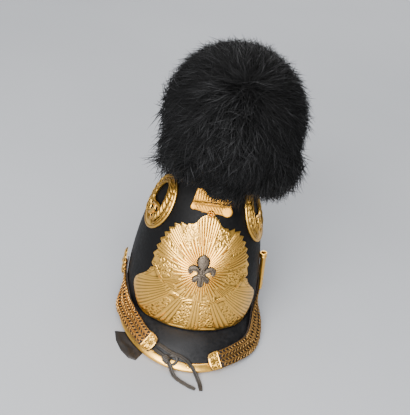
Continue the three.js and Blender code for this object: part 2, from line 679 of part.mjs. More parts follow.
// Laurel ring with a bead round its outside, and a pierced scroll inside its lower end
function buildWreath(name, side, skullClearance) {
  const place = (x, y, z) => onSide(side, x, WREATH.height + y, 4 * GAP + z);
  const opening = WREATH_OPENING;
  // Section of the band, from the opening's edge out to the wreath's
  const profile = [
    { across: 0, rise: 0 },
    { across: 0.05, rise: 0.5 },
    { across: 0.45, rise: 1, leaf: true },
    { across: 0.78, rise: 0.5 },
    { across: 0.9, rise: 0.9 },
    { across: 1, rise: 0 },
  ];
  const ring = (u, v, target) => {
    const turn = Math.round(u * WREATH_STEPS) / WREATH_STEPS;
    const row = profile[Math.round(v * profile.length) % profile.length];
    const leafRise = row.leaf ? 0.75 + 0.25 * Math.cos(turn * WREATH.leaves * Math.PI * 2) : 1;
    const angle = turn * Math.PI * 2;
    const inner = {
      along: opening.along + opening.halfLength * Math.sin(angle),
      up: opening.up + opening.halfHeight * Math.cos(angle),
    };
    target.copy(place(
      THREE.MathUtils.lerp(inner.along, WREATH.halfLength * Math.sin(angle), row.across),
      THREE.MathUtils.lerp(inner.up, WREATH.halfHeight * Math.cos(angle), row.across),
      WREATH.rise * row.rise * leafRise));
  };
  const { rise, crown, overlap } = WREATH_SCROLL;
  const innerLength = opening.halfLength + overlap;
  const innerHeight = opening.halfHeight + overlap;
  const [start, end] = [Math.PI * 1.06, Math.PI * 1.94];
  const corner = {
    x: opening.along + innerLength * Math.cos(start),
    y: opening.up + innerHeight * Math.sin(start),
  };
  const scroll = new THREE.Shape();
  scroll.absellipse(opening.along, opening.up, innerLength, innerHeight, start, end, false);
  scroll.quadraticCurveTo(opening.along + innerLength / 2, crown + 2, opening.along, crown);
  scroll.quadraticCurveTo(opening.along - innerLength / 2, crown + 2, corner.x, corner.y);
  for (const { along, up, radius } of WREATH_HOLES) {
    const hole = new THREE.Path();
    hole.absarc(along, up, radius, 0, Math.PI * 2, true);
    scroll.holes.push(hole);
  }
  const flat = new THREE.ExtrudeGeometry(scroll, {
    depth: rise, bevelEnabled: false, curveSegments: 3,
  });
  const body = solid(new ParametricGeometry(ring, WREATH_STEPS, profile.length))
    .add(solid(bend(flat, place)))
    .subtract(skullClearance);
  addPiece(name, geometryOf(body), GILT);
}

// Route of a strap on the left side: middle points and face directions, in even steps along its length
function strapRoute(rows) {
  const stations = rows.map((row) => {
    const angle = -radians(row.angle);
    if (row.on === 'skull') {
      const normal = skullNormal(angle, row.height);
      return { point: onSkull(angle, row.height, STRAP.liftOnSkull), normal };
    }
    const { normal } = peakFrame(angle, row.reach);
    return { point: peakSurface(angle, row.reach).addScaledVector(normal, STRAP.liftOnPeak), normal };
  });
  const line = new THREE.CatmullRomCurve3(stations.map(({ point }) => point));
  const normals = new THREE.CatmullRomCurve3(stations.map(({ normal }) => normal));
  return {
    length: line.getLength(),
    at(share) {
      const t = line.getUtoTmapping(share);
      const run = line.getTangent(t);
      const normal = normals.getPoint(t);
      const across = normal.clone().cross(run).normalize();
      return { point: line.getPoint(t), across, normal: run.clone().cross(across).normalize() };
    },
  };
}

function strapWidth(share) {
  return THREE.MathUtils.lerp(STRAP.rootWidth, STRAP.endWidth, share);
}

// Flat band through stations of a strap's route, between two heights over its underside
function band(route, shares, { width, low, high }) {
  return loft(shares.map((share, i) => {
    const { point, across, normal } = route.at(share);
    const half = width(share, i) / 2;
    const top = high(i);
    const corners = [[-half, low], [half, low], [half, top], [-half, top]];
    return corners.map(([side, up]) =>
      point.clone().addScaledVector(across, side).addScaledVector(normal, up));
  }));
}

function evenShares(from, to, steps) {
  return Array.from({ length: steps + 1 }, (_, i) => THREE.MathUtils.lerp(from, to, i / steps));
}

// Leather strap with a ribbed cover of mail and a round-ended metal tip, all through the same stations.
// Each is shaped on the left, and turned over for the right
function buildChinStrap(label, rows, skullClearance) {
  const route = strapRoute(rows);
  const place = (geometry) => geometry.scale(label === 'left' ? 1 : -1, 1, 1);
  const tipStart = 1 - TIP.length / route.length;
  const onLeather = STRAP.leather + GAP;
  const ribs = 2 * Math.round(route.length * (tipStart - MAIL.start) / MAIL.pitch / 2);
  const mailShares = evenShares(MAIL.start, tipStart, ribs);
  const tipShares = evenShares(tipStart, 1, TIP.steps);
  const leather = place(band(route, [0, ...mailShares, ...tipShares.slice(1)], {
    width: strapWidth, low: 0, high: () => STRAP.leather,
  }));
  addPiece(`chin_strap_${label}`, geometryOf(solid(leather).subtract(skullClearance)), BLACK_LEATHER);
  mailShares[ribs] -= GAP / route.length;
  addPiece(`chin_chain_${label}`, place(band(route, mailShares, {
    width: (share, i) => strapWidth(share) - 2 * MAIL.inset - (i % 2) * MAIL.dip,
    low: onLeather,
    high: (i) => onLeather + MAIL.metal - (i % 2) * MAIL.dip,
  })), GILT);
  const roundEnd = (share) => {
    const left = (1 - share) * route.length / TIP.length;
    return (strapWidth(share) + TIP.overhang) * Math.sqrt(1 - 0.82 * (1 - left) ** 4);
  };
  addPiece(`strap_tip_${label}`, place(band(route, tipShares, {
    width: roundEnd, low: onLeather, high: () => onLeather + TIP.metal,
  })), GILT);
}

// Height of a boss's flat back over the skull, above the strap and its mail
const bossLift = STRAP.liftOnSkull + STRAP.leather + MAIL.metal + 3 * GAP;

// Rosette turned about its own axis, seated over the strap's upper end
function buildBoss(name, side) {
  const { radius, rise } = BOSS;
  const profile = [
    [0, 0], [radius, 0], [radius, rise * 0.35], [radius * 0.86, rise * 0.6], [radius * 0.7, rise * 0.45],
    [radius * 0.45, rise * 0.8], [radius * 0.25, rise], [0, rise],
  ].map(([out, up]) => new THREE.Vector2(out, up));
  const turned = new THREE.LatheGeometry(profile, 18);
  const angle = side * radians(BOSS.angle);
  const normal = skullNormal(angle, BOSS.height);
  const seat = onSkull(angle, BOSS.height, bossLift);
  turned.applyQuaternion(new THREE.Quaternion().setFromUnitVectors(new THREE.Vector3(0, 1, 0), normal));
  turned.translate(seat.x, seat.y, seat.z);
  addPiece(name, turned, GILT);
}

// Conical plume tube with a collar, closed at its foot, that stands along the skull's side
function buildPlumeSocket() {
  const { length, collar, tube, neck, bore } = SOCKET;
  const profile = [
    [0, 0], [neck, 0], [neck, length * 0.3], [tube * 0.85, length * 0.36], [tube, length * 0.86],
    [collar, length * 0.88], [collar, length], [bore, length], [bore, length * 0.42],
    [0, length * 0.42],
  ].map(([out, up]) => new THREE.Vector2(out, up));
  const turned = new THREE.LatheGeometry(profile, 14);
  const angle = radians(SOCKET.angle);
  const seat = onSkull(angle, SOCKET.foot, SOCKET.lift);
  const along = onSkull(angle, SOCKET.foot + length, SOCKET.lift).sub(seat).normalize();
  turned.applyQuaternion(new THREE.Quaternion().setFromUnitVectors(new THREE.Vector3(0, 1, 0), along));
  turned.translate(seat.x, seat.y, seat.z);
  addPiece('plume_socket', turned, GILT);
}

// Sideways and upward directions of a thong that runs a given way
function thongFrame(run) {
  const side = run.clone().cross(new THREE.Vector3(0, 0, 1)).normalize();
  return { side, top: side.clone().cross(run).normalize() };
}

// Flat thong with bevelled edges along hand-set points
function thong(points) {
  const line = new THREE.CatmullRomCurve3(points.map(([x, y, z]) => new THREE.Vector3(x, y, z)));
  const [half, thick] = [THONG.width / 2, THONG.thickness / 2];
  const section = [[-half, 0], [-0.7 * half, -thick], [0.7 * half, -thick], [half, 0], [0.7 * half, thick],
    [-0.7 * half, thick]];
  const steps = Math.round(line.getLength() / THONG.width);
  return loft(evenShares(0, 1, steps).map((share) => {
    const middle = line.getPointAt(share);
    const { side, top } = thongFrame(line.getTangentAt(share));
    return section.map(([x, z]) => middle.clone().addScaledVector(side, x).addScaledVector(top, z));
  }));
}

// Flattened ring drawn round a thong, bulging in its middle
function buildKnot() {
  const { radius, length, flatness } = KNOT;
  const hole = THONG.width / 2 + 1.5 * GAP;
  const half = length / 2;
  const profile = [
    [hole, -half], [radius * 0.8, -half], [radius, -half / 3], [radius, half / 3],
    [radius * 0.8, half], [hole, half], [hole, -half],
  ].map(([out, up]) => new THREE.Vector2(out, up));
  const ring = new THREE.LatheGeometry(profile, 10);
  ring.scale(1, 1, flatness);
  const run = new THREE.Vector3(...KNOT.run).normalize();
  const { side, top } = thongFrame(run);
  ring.applyMatrix4(new THREE.Matrix4().makeBasis(side, run, top));
  ring.translate(...KNOT.centre);
  addPiece('lace_knot', ring, GREY_LEATHER);
}

// Tab of lining leather on the ground, running out from under the peak's edge
function buildLiningTab() {
  const outline = new THREE.Shape(TAB_CORNERS.map(([x, y]) => new THREE.Vector2(x, y)));
  const flat = new THREE.ExtrudeGeometry(outline, { depth: TAB_THICKNESS, bevelEnabled: false });
  addPiece('lining_tab', flat, BROWN_LEATHER);
}

const skullClearance = skullForm(GAP);
buildSkull();
buildPeak(skullClearance);
buildBinding(skullClearance);
buildFrontPlate(skullClearance);
buildLily();
addPiece('crest', geometryOf(crestForm(0, skullClearance)), GILT);
buildCrestRivet();
buildBearskin(skullClearance);
buildWreath('side_wreath_left', -1, skullClearance);
buildWreath('side_wreath_right', 1, skullClearance);
buildBoss('boss_left', -1);
buildBoss('boss_right', 1);
buildPlumeSocket();
buildChinStrap('left', STRAP_LEFT, skullClearance);
buildChinStrap('right', STRAP_RIGHT, skullClearance);
addPiece('lace_upper', thong(LACE_UPPER), GREY_LEATHER);
addPiece('lace_lower', thong(LACE_LOWER), GREY_LEATHER);
buildKnot();
buildLiningTab();

export default helmet;
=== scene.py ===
"""Visual model of a cavalry helmet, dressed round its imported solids.

Shapes are worked out in millimetres on the helmet's own axes: rim at Z = 0, front towards -Y, and
"left" and "right" as seen from the front. Each mesh is moved into the frame as it is made.
"""

import bmesh
import bpy
import numpy as np
from mathutils import Matrix, Vector
from mathutils.kdtree import KDTree


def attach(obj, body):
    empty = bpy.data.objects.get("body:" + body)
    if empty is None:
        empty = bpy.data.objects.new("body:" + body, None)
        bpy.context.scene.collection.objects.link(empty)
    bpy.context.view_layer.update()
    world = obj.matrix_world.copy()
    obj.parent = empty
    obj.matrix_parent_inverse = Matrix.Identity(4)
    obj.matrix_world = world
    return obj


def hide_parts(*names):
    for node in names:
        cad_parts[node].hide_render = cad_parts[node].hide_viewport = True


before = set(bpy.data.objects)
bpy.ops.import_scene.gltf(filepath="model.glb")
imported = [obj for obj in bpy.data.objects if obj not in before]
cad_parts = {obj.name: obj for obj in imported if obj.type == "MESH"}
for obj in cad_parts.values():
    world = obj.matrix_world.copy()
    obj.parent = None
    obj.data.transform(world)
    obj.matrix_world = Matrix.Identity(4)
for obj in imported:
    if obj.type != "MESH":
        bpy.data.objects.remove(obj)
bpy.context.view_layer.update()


# Studio: a wide pale floor under large soft lights, and the photograph's camera, which looks down on
# the helmet's front from a little left of it and is rolled so that the helmet leans to the right.
MM = 0.001
FOOT_MIDDLE = np.array([2.4, 9.8, 0.0])
PHOTO = {"height": 415, "width": 410, "focal": 878, "middle_x": 204.6, "middle_y": 223.3}
VIEW = {"target": (0, -20, 150), "azimuth": -7.0, "elevation": 35.4, "roll": 11.5, "distance": 1200}
LIT_POINT = Vector((0, 0, 0.18))
LIGHTS = [
    # name, place, width, power
    ("key_light", (-1.0, -1.7, 1.5), 1.5, 98),
    ("front_light", (-0.2, -1.9, 0.5), 1.7, 84),
    ("top_light", (0.0, -0.1, 2.2), 1.5, 40),
    ("back_light", (0.5, 2.0, 1.5), 1.6, 46),
]
AIR = {"Color": (0.50, 0.51, 0.53, 1.0), "Strength": 0.45}
FLOOR_HALF = 4.0
FLOOR_TONES = [(0.2, (0.32, 0.33, 0.35)), (0.8, (0.36, 0.37, 0.39))]


def in_frame(points):
    """Moves points from the helmet's millimetres into the frame's metres."""
    return (np.asarray(points, float) - FOOT_MIDDLE) * MM


def link(thing):
    bpy.context.scene.collection.objects.link(thing)
    return thing


def give(tree, made, inputs):
    """Sets a node's inputs by name or number, and links those whose value is a socket."""
    for name, value in inputs.items():
        if isinstance(value, bpy.types.NodeSocket):
            tree.links.new(value, made.inputs[name])
        else:
            made.inputs[name].default_value = value


def node(tree, kind, inputs=None, **settings):
    """Adds a node with its properties and inputs."""
    made = tree.nodes.new(kind)
    for name, value in settings.items():
        setattr(made, name, value)
    give(tree, made, inputs or {})
    return made


def new_material(name):
    """A material's tree, its shader, and its object coordinates."""
    material = bpy.data.materials.new(name)
    material.use_nodes = True
    tree = material.node_tree
    place = node(tree, "ShaderNodeTexCoord").outputs["Object"]
    return material, tree, tree.nodes["Principled BSDF"], place


def cloud(tree, place, scale, detail=3.0):
    """Soft noise, from 0 to 1, with `scale` patches in a metre."""
    made = node(tree, "ShaderNodeTexNoise", {"Vector": place, "Scale": scale, "Detail": detail})
    return made.outputs["Fac"]


def ramp(tree, factor, *stops):
    """Colour along a factor, from pairs of a place and a colour."""
    made = node(tree, "ShaderNodeValToRGB", {"Fac": factor})
    elements = made.color_ramp.elements
    for i, (place, colour) in enumerate(stops):
        element = elements[i] if i < 2 else elements.new(place)
        element.position = place
        element.color = (*colour, 1.0)
    return made.outputs["Color"]


def spread(tree, factor, low, high):
    """Number between low and high as a factor goes from 0.3 to 0.7, where most of a cloud lies."""
    inputs = {"Value": factor, "From Min": 0.3, "From Max": 0.7, "To Min": low, "To Max": high}
    return node(tree, "ShaderNodeMapRange", inputs).outputs["Result"]


def paper_floor():
    material, tree, shader, place = new_material("pale_paper")
    tone = ramp(tree, cloud(tree, place, 2.0), *FLOOR_TONES)
    give(tree, shader, {"Base Color": tone, "Roughness": 0.9})
    mesh = bpy.data.meshes.new("floor")
    corners = [(FLOOR_HALF * x, FLOOR_HALF * y, 0) for x, y in ((-1, -1), (1, -1), (1, 1), (-1, 1))]
    mesh.from_pydata(corners, [], [(0, 1, 2, 3)])
    mesh.materials.append(material)
    return link(bpy.data.objects.new("floor", mesh))


def soft_light(name, place, width, power):
    """Square light that faces the middle of the helmet."""
    lamp = bpy.data.lights.new(name, "AREA")
    lamp.shape = "SQUARE"
    lamp.size = width
    lamp.energy = power
    holder = link(bpy.data.objects.new(name, lamp))
    holder.location = place
    holder.rotation_euler = (LIT_POINT - holder.location).to_track_quat("-Z", "Y").to_euler()


def photo_camera():
    azimuth, elevation, roll = np.radians([VIEW["azimuth"], VIEW["elevation"], VIEW["roll"]])
    level = np.array([np.sin(azimuth), -np.cos(azimuth), 0.0])
    back = level * np.cos(elevation) + np.array([0.0, 0.0, np.sin(elevation)])
    right = np.array([np.cos(azimuth), np.sin(azimuth), 0.0])
    up = np.cross(back, right)
    axes = [right * np.cos(roll) + up * np.sin(roll), up * np.cos(roll) - right * np.sin(roll), back]
    seat = in_frame(VIEW["target"]) + back * VIEW["distance"] * MM
    lens = bpy.data.cameras.new("photo_camera")
    lens.lens = PHOTO["focal"] / PHOTO["height"] * lens.sensor_width
    lens.shift_x = (PHOTO["width"] / 2 - PHOTO["middle_x"]) / PHOTO["height"]
    lens.shift_y = (PHOTO["middle_y"] - PHOTO["height"] / 2) / PHOTO["height"]
    camera = link(bpy.data.objects.new("photo_camera", lens))
    turn = Matrix([list(axis) for axis in axes]).transposed().to_4x4()
    camera.matrix_world = Matrix.Translation(seat.tolist()) @ turn
    return camera


bpy.context.scene.camera = photo_camera()
paper_floor()
for light in LIGHTS:
    soft_light(*light)
studio = bpy.data.worlds.new("studio")
studio.use_nodes = True
give(studio.node_tree, studio.node_tree.nodes["Background"], AIR)
bpy.context.scene.world = studio


# Laces: two doubled thongs of greyish leather, tied through the left strap's tip, that hang over the peak's
# edge and trail on the ground. A few turns of thong make a knot round the lower one, with a loop beside it.
THONG = {"width": 5.8, "thickness": 2.6, "groove": 0.3, "groove_depth": 0.75, "wear": 0.05, "wear_step": 2.1,
         "end": 0.8}
LACE_UPPER = [
    (-44.2, -130.3, 21.6), (-38, -134.6, 22), (-30, -140, 21), (-22, -144.6, 20.2), (-13, -147.6, 19.9),
    (-5, -151, 18), (3, -156, 13.6), (9.5, -162, 7.6), (14, -168.5, 2.6), (17, -177, 1.6), (18.6, -188, 1.6),
]
LACE_LOWER = [
    (-47.6, -136.4, 17.2), (-42, -140.6, 17), (-36, -145.4, 16.6), (-31, -150, 15.2), (-27, -154.6, 13),
    (-23.4, -160, 8.6), (-19.6, -165.4, 3.6), (-14.6, -170.6, 1.6), (-7, -176.6, 1.6), (1.5, -182, 1.6),
    (11, -186.6, 1.6),
]
KNOT = {"centre": (-30, -151, 15.2), "run": (9, -9.2, -3.6), "radius": 4.9, "wire": 1.5, "length": 8.0,
        "turns": 3.2, "flatness": 0.75}
KNOT_LOOP = [
    (-28.5, -149.5, 15.8), (-23.5, -146.6, 17.9), (-17.5, -147.6, 18.3), (-16, -151.4, 14.6),
    (-19.5, -155, 10.8), (-25.5, -156.2, 10.4), (-29.6, -153.4, 12.6),
]
KNOT_LOOP_RADIUS = 1.8
KNOT_LOOP_FACING = (0, -0.6, 0.8)


def unit(vectors):
    return vectors / np.linalg.norm(vectors, axis=-1, keepdims=True)


def circle(count):
    """Angles of even steps round a circle."""
    return np.linspace(0, 2 * np.pi, count, endpoint=False)


def joined(*parts):
    """Points, from arrays of their coordinates."""
    return np.stack(np.broadcast_arrays(*parts), axis=-1)


def ridge(distance, half_width):
    """Soft ridge, 1 high along its middle."""
    return np.exp(-(distance / half_width) ** 2)


def beside(run, facing=(0, 0, 1)):
    """Directions square to a run: to its side, and out of the face that it lies on."""
    side = unit(np.cross(run, facing))
    return side, np.cross(side, run)


def smooth_line(points, per_span):
    """Smooth curve through points, with `per_span` places on the way to each next point."""
    points = np.asarray(points, float)
    before = 2 * points[0] - points[1]
    after = 2 * points[-1] - points[-2]
    around = np.vstack([before, points, after])
    t = np.linspace(0, 1, per_span, endpoint=False)[:, None]
    spans = []
    for a, b, c, d in zip(around, around[1:], around[2:], around[3:]):
        first, middle, last = (np.linalg.norm(q - p) ** 0.5 for p, q in ((a, b), (b, c), (c, d)))
        leave = middle * ((b - a) / first - (c - a) / (first + middle)) + (c - b)
        arrive = middle * ((d - c) / last - (d - b) / (middle + last)) + (c - b)
        ends = (1 + 2 * t) * (1 - t) ** 2 * b + t ** 2 * (3 - 2 * t) * c
        spans.append(ends + t * (1 - t) ** 2 * leave - t ** 2 * (1 - t) * arrive)
    return np.vstack([*spans, points[-1:]])


def flat_strip(line, half_width, half_thickness):
    """Rings of a flat doubled strip, lying level along a line, with a groove between its two strands."""
    side, top = beside(unit(np.gradient(line, axis=0)))
    turn = circle(16)
    across = np.cos(turn)
    groove = THONG["groove_depth"] * ridge(across, THONG["groove"])
    up = np.sign(np.sin(turn)) * np.abs(np.sin(turn)) ** 0.6 * (1 - groove)
    wide = half_width[:, None] * across
    thick = half_thickness[:, None] * up
    return line[:, None] + side[:, None] * wide[..., None] + top[:, None] * thick[..., None]


def round_cord(line, radius, side, top, sides):
    """Rings of a round cord along a line."""
    section = circle(sides)[None, :, None]
    return line[:, None] + radius * (np.cos(section) * side[:, None] + np.sin(section) * top[:, None])


def shell(rings, loop=False):
    """Points and faces of a closed skin through rings of points, with caps on end rings that are open."""
    rows, columns = rings.shape[:2]
    index = np.arange(rows * columns).reshape(rows, columns)
    ahead = np.roll(index, -1, axis=0) if loop else index[1:]
    here = index if loop else index[:-1]
    quads = np.stack([here, np.roll(here, -1, axis=1), np.roll(ahead, -1, axis=1), ahead], axis=-1)
    faces = quads.reshape(-1, 4).tolist()
    if not loop:
        for i in (0, rows - 1):
            if np.ptp(rings[i], axis=0).max() > 1e-3:
                faces.append(index[i].tolist())
    return rings.reshape(-1, 3), faces


def make_piece(name, shells, material, sharp=40, **marks):
    """One smooth mesh from closed skins, with marks (a number for each point) for its material."""
    points, faces = [], []
    for skin_points, skin_faces in shells:
        start = sum(map(len, points))
        points.append(skin_points)
        faces += [[corner + start for corner in face] for face in skin_faces]
    mesh = bpy.data.meshes.new(name)
    mesh.from_pydata(in_frame(np.vstack(points)).tolist(), [], faces)
    for mark, values in marks.items():
        attribute = mesh.attributes.new(mark, "FLOAT", "POINT")
        attribute.data.foreach_set("value", np.ravel(values).astype(np.float32))
    form = bmesh.new()
    form.from_mesh(mesh)
    bmesh.ops.remove_doubles(form, verts=form.verts, dist=1e-6)
    bmesh.ops.dissolve_degenerate(form, edges=form.edges, dist=1e-7)
    bmesh.ops.recalc_face_normals(form, faces=form.faces)
    form.to_mesh(mesh)
    form.free()
    mesh.shade_smooth()
    mesh.set_sharp_from_angle(angle=np.radians(sharp))
    if material:
        mesh.materials.append(material)
    return link(bpy.data.objects.new(name, mesh))


def fit(piece, slot, *nodes):
    """Fixes a piece to the helmet in place of these solids. The slot is not used."""
    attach(piece, "root")
    if nodes:
        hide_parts(*nodes)


def product(tree, first, second):
    return node(tree, "ShaderNodeMath", {0: first, 1: second}, operation="MULTIPLY").outputs[0]


def bumps(tree, height, strength, depth):
    """Normals of a surface with fine bumps, up to `depth` millimetres high."""
    inputs = {"Height": height, "Strength": strength, "Distance": depth * MM}
    return node(tree, "ShaderNodeBump", inputs).outputs["Normal"]


def leather(name, dark, light, roughness, grain, depth, gloss=0.5):
    """Leather with a cloudy tone and a pebbled grain. Roughness is a pair, grain is pebbles in a metre."""
    material, tree, shader, place = new_material(name)
    patches = cloud(tree, place, 35.0)
    scuffs = cloud(tree, place, 240.0, 5.0)
    pebbles = node(tree, "ShaderNodeTexVoronoi", {"Vector": place, "Scale": grain}, feature="SMOOTH_F1")
    give(tree, shader, {
        "Base Color": ramp(tree, product(tree, patches, scuffs), (0.15, dark), (0.45, light)),
        "Roughness": spread(tree, scuffs, *roughness),
        "Specular IOR Level": gloss,
        "Normal": bumps(tree, pebbles.outputs["Distance"], 0.35, depth)})
    return material


thong_leather = leather(
    "thong_leather", (0.010, 0.008, 0.0065), (0.056, 0.047, 0.038), (0.5, 0.75), 700.0, 0.4)


def lace(name, points):
    """Thong with a worn, uneven width, and the line that it follows."""
    line = smooth_line(points, 3)
    wear = 1 + THONG["wear"] * np.sin(np.arange(len(line)) * THONG["wear_step"])
    wear[[0, -1]] *= THONG["end"]
    rings = flat_strip(line, 0.5 * THONG["width"] * wear, 0.5 * THONG["thickness"] * wear ** 2)
    return make_piece(name, [shell(rings)], thong_leather), in_frame(line)


def thong_knot():
    """Tight turns of a thinner thong round the lower lace, flattened with it."""
    centre = np.array(KNOT["centre"])
    run = unit(np.array(KNOT["run"], float))
    side, top = beside(run)
    turn = np.linspace(0, KNOT["turns"] * 2 * np.pi, int(KNOT["turns"] * 24))[:, None]
    along = (turn / turn[-1] - 0.5) * KNOT["length"]
    outward = np.cos(turn) * side + KNOT["flatness"] * np.sin(turn) * top
    line = centre + along * run + KNOT["radius"] * outward
    outward = unit(outward)
    across = np.cross(unit(np.gradient(line, axis=0)), outward)
    width = np.full((len(line), 1, 1), KNOT["wire"])
    width[[0, -1]] *= 0.5
    return make_piece("thong_knot", [shell(round_cord(line, width, outward, across, 8))], thong_leather)


def knot_loop():
    """Bight of the thong, drawn through the knot, that lies flat beside it with an eye in its middle."""
    per_span = 6
    twice_round = smooth_line([*KNOT_LOOP, *KNOT_LOOP[:3]], per_span)
    line = twice_round[per_span:per_span * (len(KNOT_LOOP) + 1)]
    run = unit(np.roll(line, -1, axis=0) - np.roll(line, 1, axis=0))
    rings = round_cord(line, KNOT_LOOP_RADIUS, *beside(run, KNOT_LOOP_FACING), 10)
    return make_piece("knot_loop", [shell(rings, loop=True)], thong_leather)


knot = thong_knot()
fit(knot, "grey_leather", "lace_knot")
loop = knot_loop()
fit(loop, "grey_leather")
for name, points, carried in (
        ("lace_upper_thong", LACE_UPPER, []), ("lace_lower_thong", LACE_LOWER, [knot, loop])):
    thong, route = lace(name, points)
    fit(thong, "grey_leather", name.replace("_thong", ""))
    length = np.linalg.norm(np.diff(route, axis=0), axis=1).sum()


# Skull: a tall shell of thick black leather, blocked to shape and polished, open below for the head.
# Its rim is cut square and burnished round. The sections run from the rim up to the crown.
SKULL_SECTIONS = np.array([
    # height, half width, front, back
    (0, 92, 111, 118),
    (40, 94, 112, 120),
    (80, 91, 107, 117),
    (120, 85, 97, 111),
    (160, 75, 82, 99),
    (195, 61, 65, 82),
    (218, 44, 47, 61),
    (234, 22, 23, 32),
    (239, 6, 6, 8),
], float)
SKULL_WALL = 2.8
SKULL_RIM = [
    # height, how far it is drawn in from the outside
    (0.5, 0.25), (0.12, 0.8), (0.0, 1.4), (0.12, 2.0), (0.5, 2.55),
]
CROWN = 239.0
CROWN_RISE = 0.6
HALF_WIDTH, FRONT, BACK = 1, 2, 3
skull_leather = leather(
    "skull_leather", (0.002, 0.002, 0.0022), (0.005, 0.0048, 0.0048), (0.5, 0.66), 900.0, 0.2, gloss=0.12)


def table_value(keys, values, at):
    """Smooth curve through a table's rows, with slopes taken from the rows on either side."""
    keys, values, at = (np.asarray(numbers, float) for numbers in (keys, values, at))
    i = np.clip(np.searchsorted(keys, at) - 1, 0, len(keys) - 2)
    before = np.maximum(i - 1, 0)
    after = np.minimum(i + 2, len(keys) - 1)
    span = keys[i + 1] - keys[i]
    t = np.clip((at - keys[i]) / span, 0, 1)
    leave = span * (values[i + 1] - values[before]) / (keys[i + 1] - keys[before])
    arrive = span * (values[after] - values[i]) / (keys[after] - keys[i])
    from_here = (1 + 2 * t) * (1 - t) ** 2 * values[i] + t * (1 - t) ** 2 * leave
    from_next = t ** 2 * (3 - 2 * t) * values[i + 1] - t ** 2 * (1 - t) * arrive
    return from_here + from_next


def skull_value(height, column):
    return table_value(SKULL_SECTIONS[:, 0], SKULL_SECTIONS[:, column], height)


def skull_surface(angle, height):
    """Points of the skull's outside, by the angle from the front, positive towards the right."""
    angle, height = np.broadcast_arrays(np.asarray(angle, float), np.asarray(height, float))
    depth = np.where(np.cos(angle) > 0, skull_value(height, FRONT), skull_value(height, BACK))
    return joined(skull_value(height, HALF_WIDTH) * np.sin(angle), -depth * np.cos(angle), height)


def skull_normal(angle, height):
    around = skull_surface(angle + 0.01, height) - skull_surface(angle - 0.01, height)
    up = skull_surface(angle, height + 1.0) - skull_surface(angle, height - 1.0)
    return unit(np.cross(around, up))


def on_skull(angle, height, lift):
    return skull_surface(angle, height) + skull_normal(angle, height) * np.asarray(lift)[..., None]


def leather_skull():
    """The wall's rings run from the crown down the outside, round the rim, and up the inside."""
    heights = CROWN * np.sin(np.linspace(np.pi / 2, 0.006, 64))
    outside = [(height, 0.0) for height in heights]
    inside = [(height, SKULL_WALL) for height in heights[::-1] if height < CROWN - SKULL_WALL]
    rings = []
    for height, drawn_in in outside + SKULL_RIM + inside:
        ring = skull_surface(circle(128), height)
        outward = unit(ring * (1, 1, 0))
        rings.append(ring - outward * drawn_in)
    top = np.broadcast_to((0, 0, CROWN + CROWN_RISE), rings[0].shape)
    hollow_top = np.broadcast_to((0, 0, rings[-1][0, 2] + CROWN_RISE), rings[0].shape)
    return make_piece("leather_skull", [shell(np.array([top, *rings, hollow_top]))], skull_leather)


fit(leather_skull(), "black_leather", "skull")


# Peak: a black leather visor sewn to the skull's lower front. It slopes down to a half-oval edge, and
# its upper face is a little domed and polished.
PEAK_HALF_ANGLE = np.radians(92)
PEAK_EDGE = {"half_width": 100, "centre": -40, "reach": 118}
PEAK_SEAM = {"front": 35, "side": 25, "share_of_angle": 0.79}
PEAK_EDGE_HEIGHT = {"front": 4.8, "side": 8.5}
PEAK_BULGE = {"rise": 4, "depth": 50}
PEAK_THICKNESS = 2.5
PEAK_ROUNDING = 0.5
PEAK_TUCK = 0.03
black_leather = leather(
    "black_leather", (0.003, 0.003, 0.0035), (0.010, 0.010, 0.0115), (0.38, 0.56), 800.0, 0.35, gloss=0.27)


def peak_surface(angle, reach):
    """Points of the peak's upper face: reach runs from 0 at the seam to 1 at the free edge."""
    angle, reach = np.broadcast_arrays(np.asarray(angle, float), np.asarray(reach, float))
    side = np.sin(angle) ** 2
    seam_height = PEAK_SEAM["front"] + (PEAK_SEAM["side"] - PEAK_SEAM["front"]) * side
    edge_height = PEAK_EDGE_HEIGHT["front"] + (PEAK_EDGE_HEIGHT["side"] - PEAK_EDGE_HEIGHT["front"]) * side
    seam = skull_surface(angle * PEAK_SEAM["share_of_angle"], seam_height)
    edge = joined(PEAK_EDGE["half_width"] * np.sin(angle),
                  PEAK_EDGE["centre"] - PEAK_EDGE["reach"] * np.cos(angle), edge_height)
    depth = np.linalg.norm(edge - seam, axis=-1)
    point = seam + (edge - seam) * reach[..., None]
    point[..., 2] += PEAK_BULGE["rise"] * (depth / PEAK_BULGE["depth"]) ** 2 * np.sin(np.pi * reach)
    return point


def peak_frame(angle, reach):
    """Directions of the peak's face: outward along its slope, and square to it."""
    around = peak_surface(angle + 0.01, reach) - peak_surface(angle - 0.01, reach)
    outward = unit(peak_surface(angle, reach + 0.01) - peak_surface(angle, reach - 0.01))
    return outward, unit(np.cross(outward, around))


def leather_peak():
    angle = np.linspace(-PEAK_HALF_ANGLE, PEAK_HALF_ANGLE, 121)[:, None]
    reach = np.linspace(-PEAK_TUCK, 1.0, 28)
    # The section goes out along the upper face and back along the lower one
    way = np.concatenate([reach, reach[::-1]])
    lift = np.where(np.arange(len(way)) < len(reach), 0.0, -PEAK_THICKNESS)
    lift[len(reach) - 1:len(reach) + 1] = (-PEAK_ROUNDING, PEAK_ROUNDING - PEAK_THICKNESS)
    _, normal = peak_frame(angle, way[None, :])
    rings = peak_surface(angle, way[None, :]) + normal * lift[None, :, None]
    return make_piece("leather_peak", [shell(rings)], black_leather)


fit(leather_peak(), "black_leather", "peak")


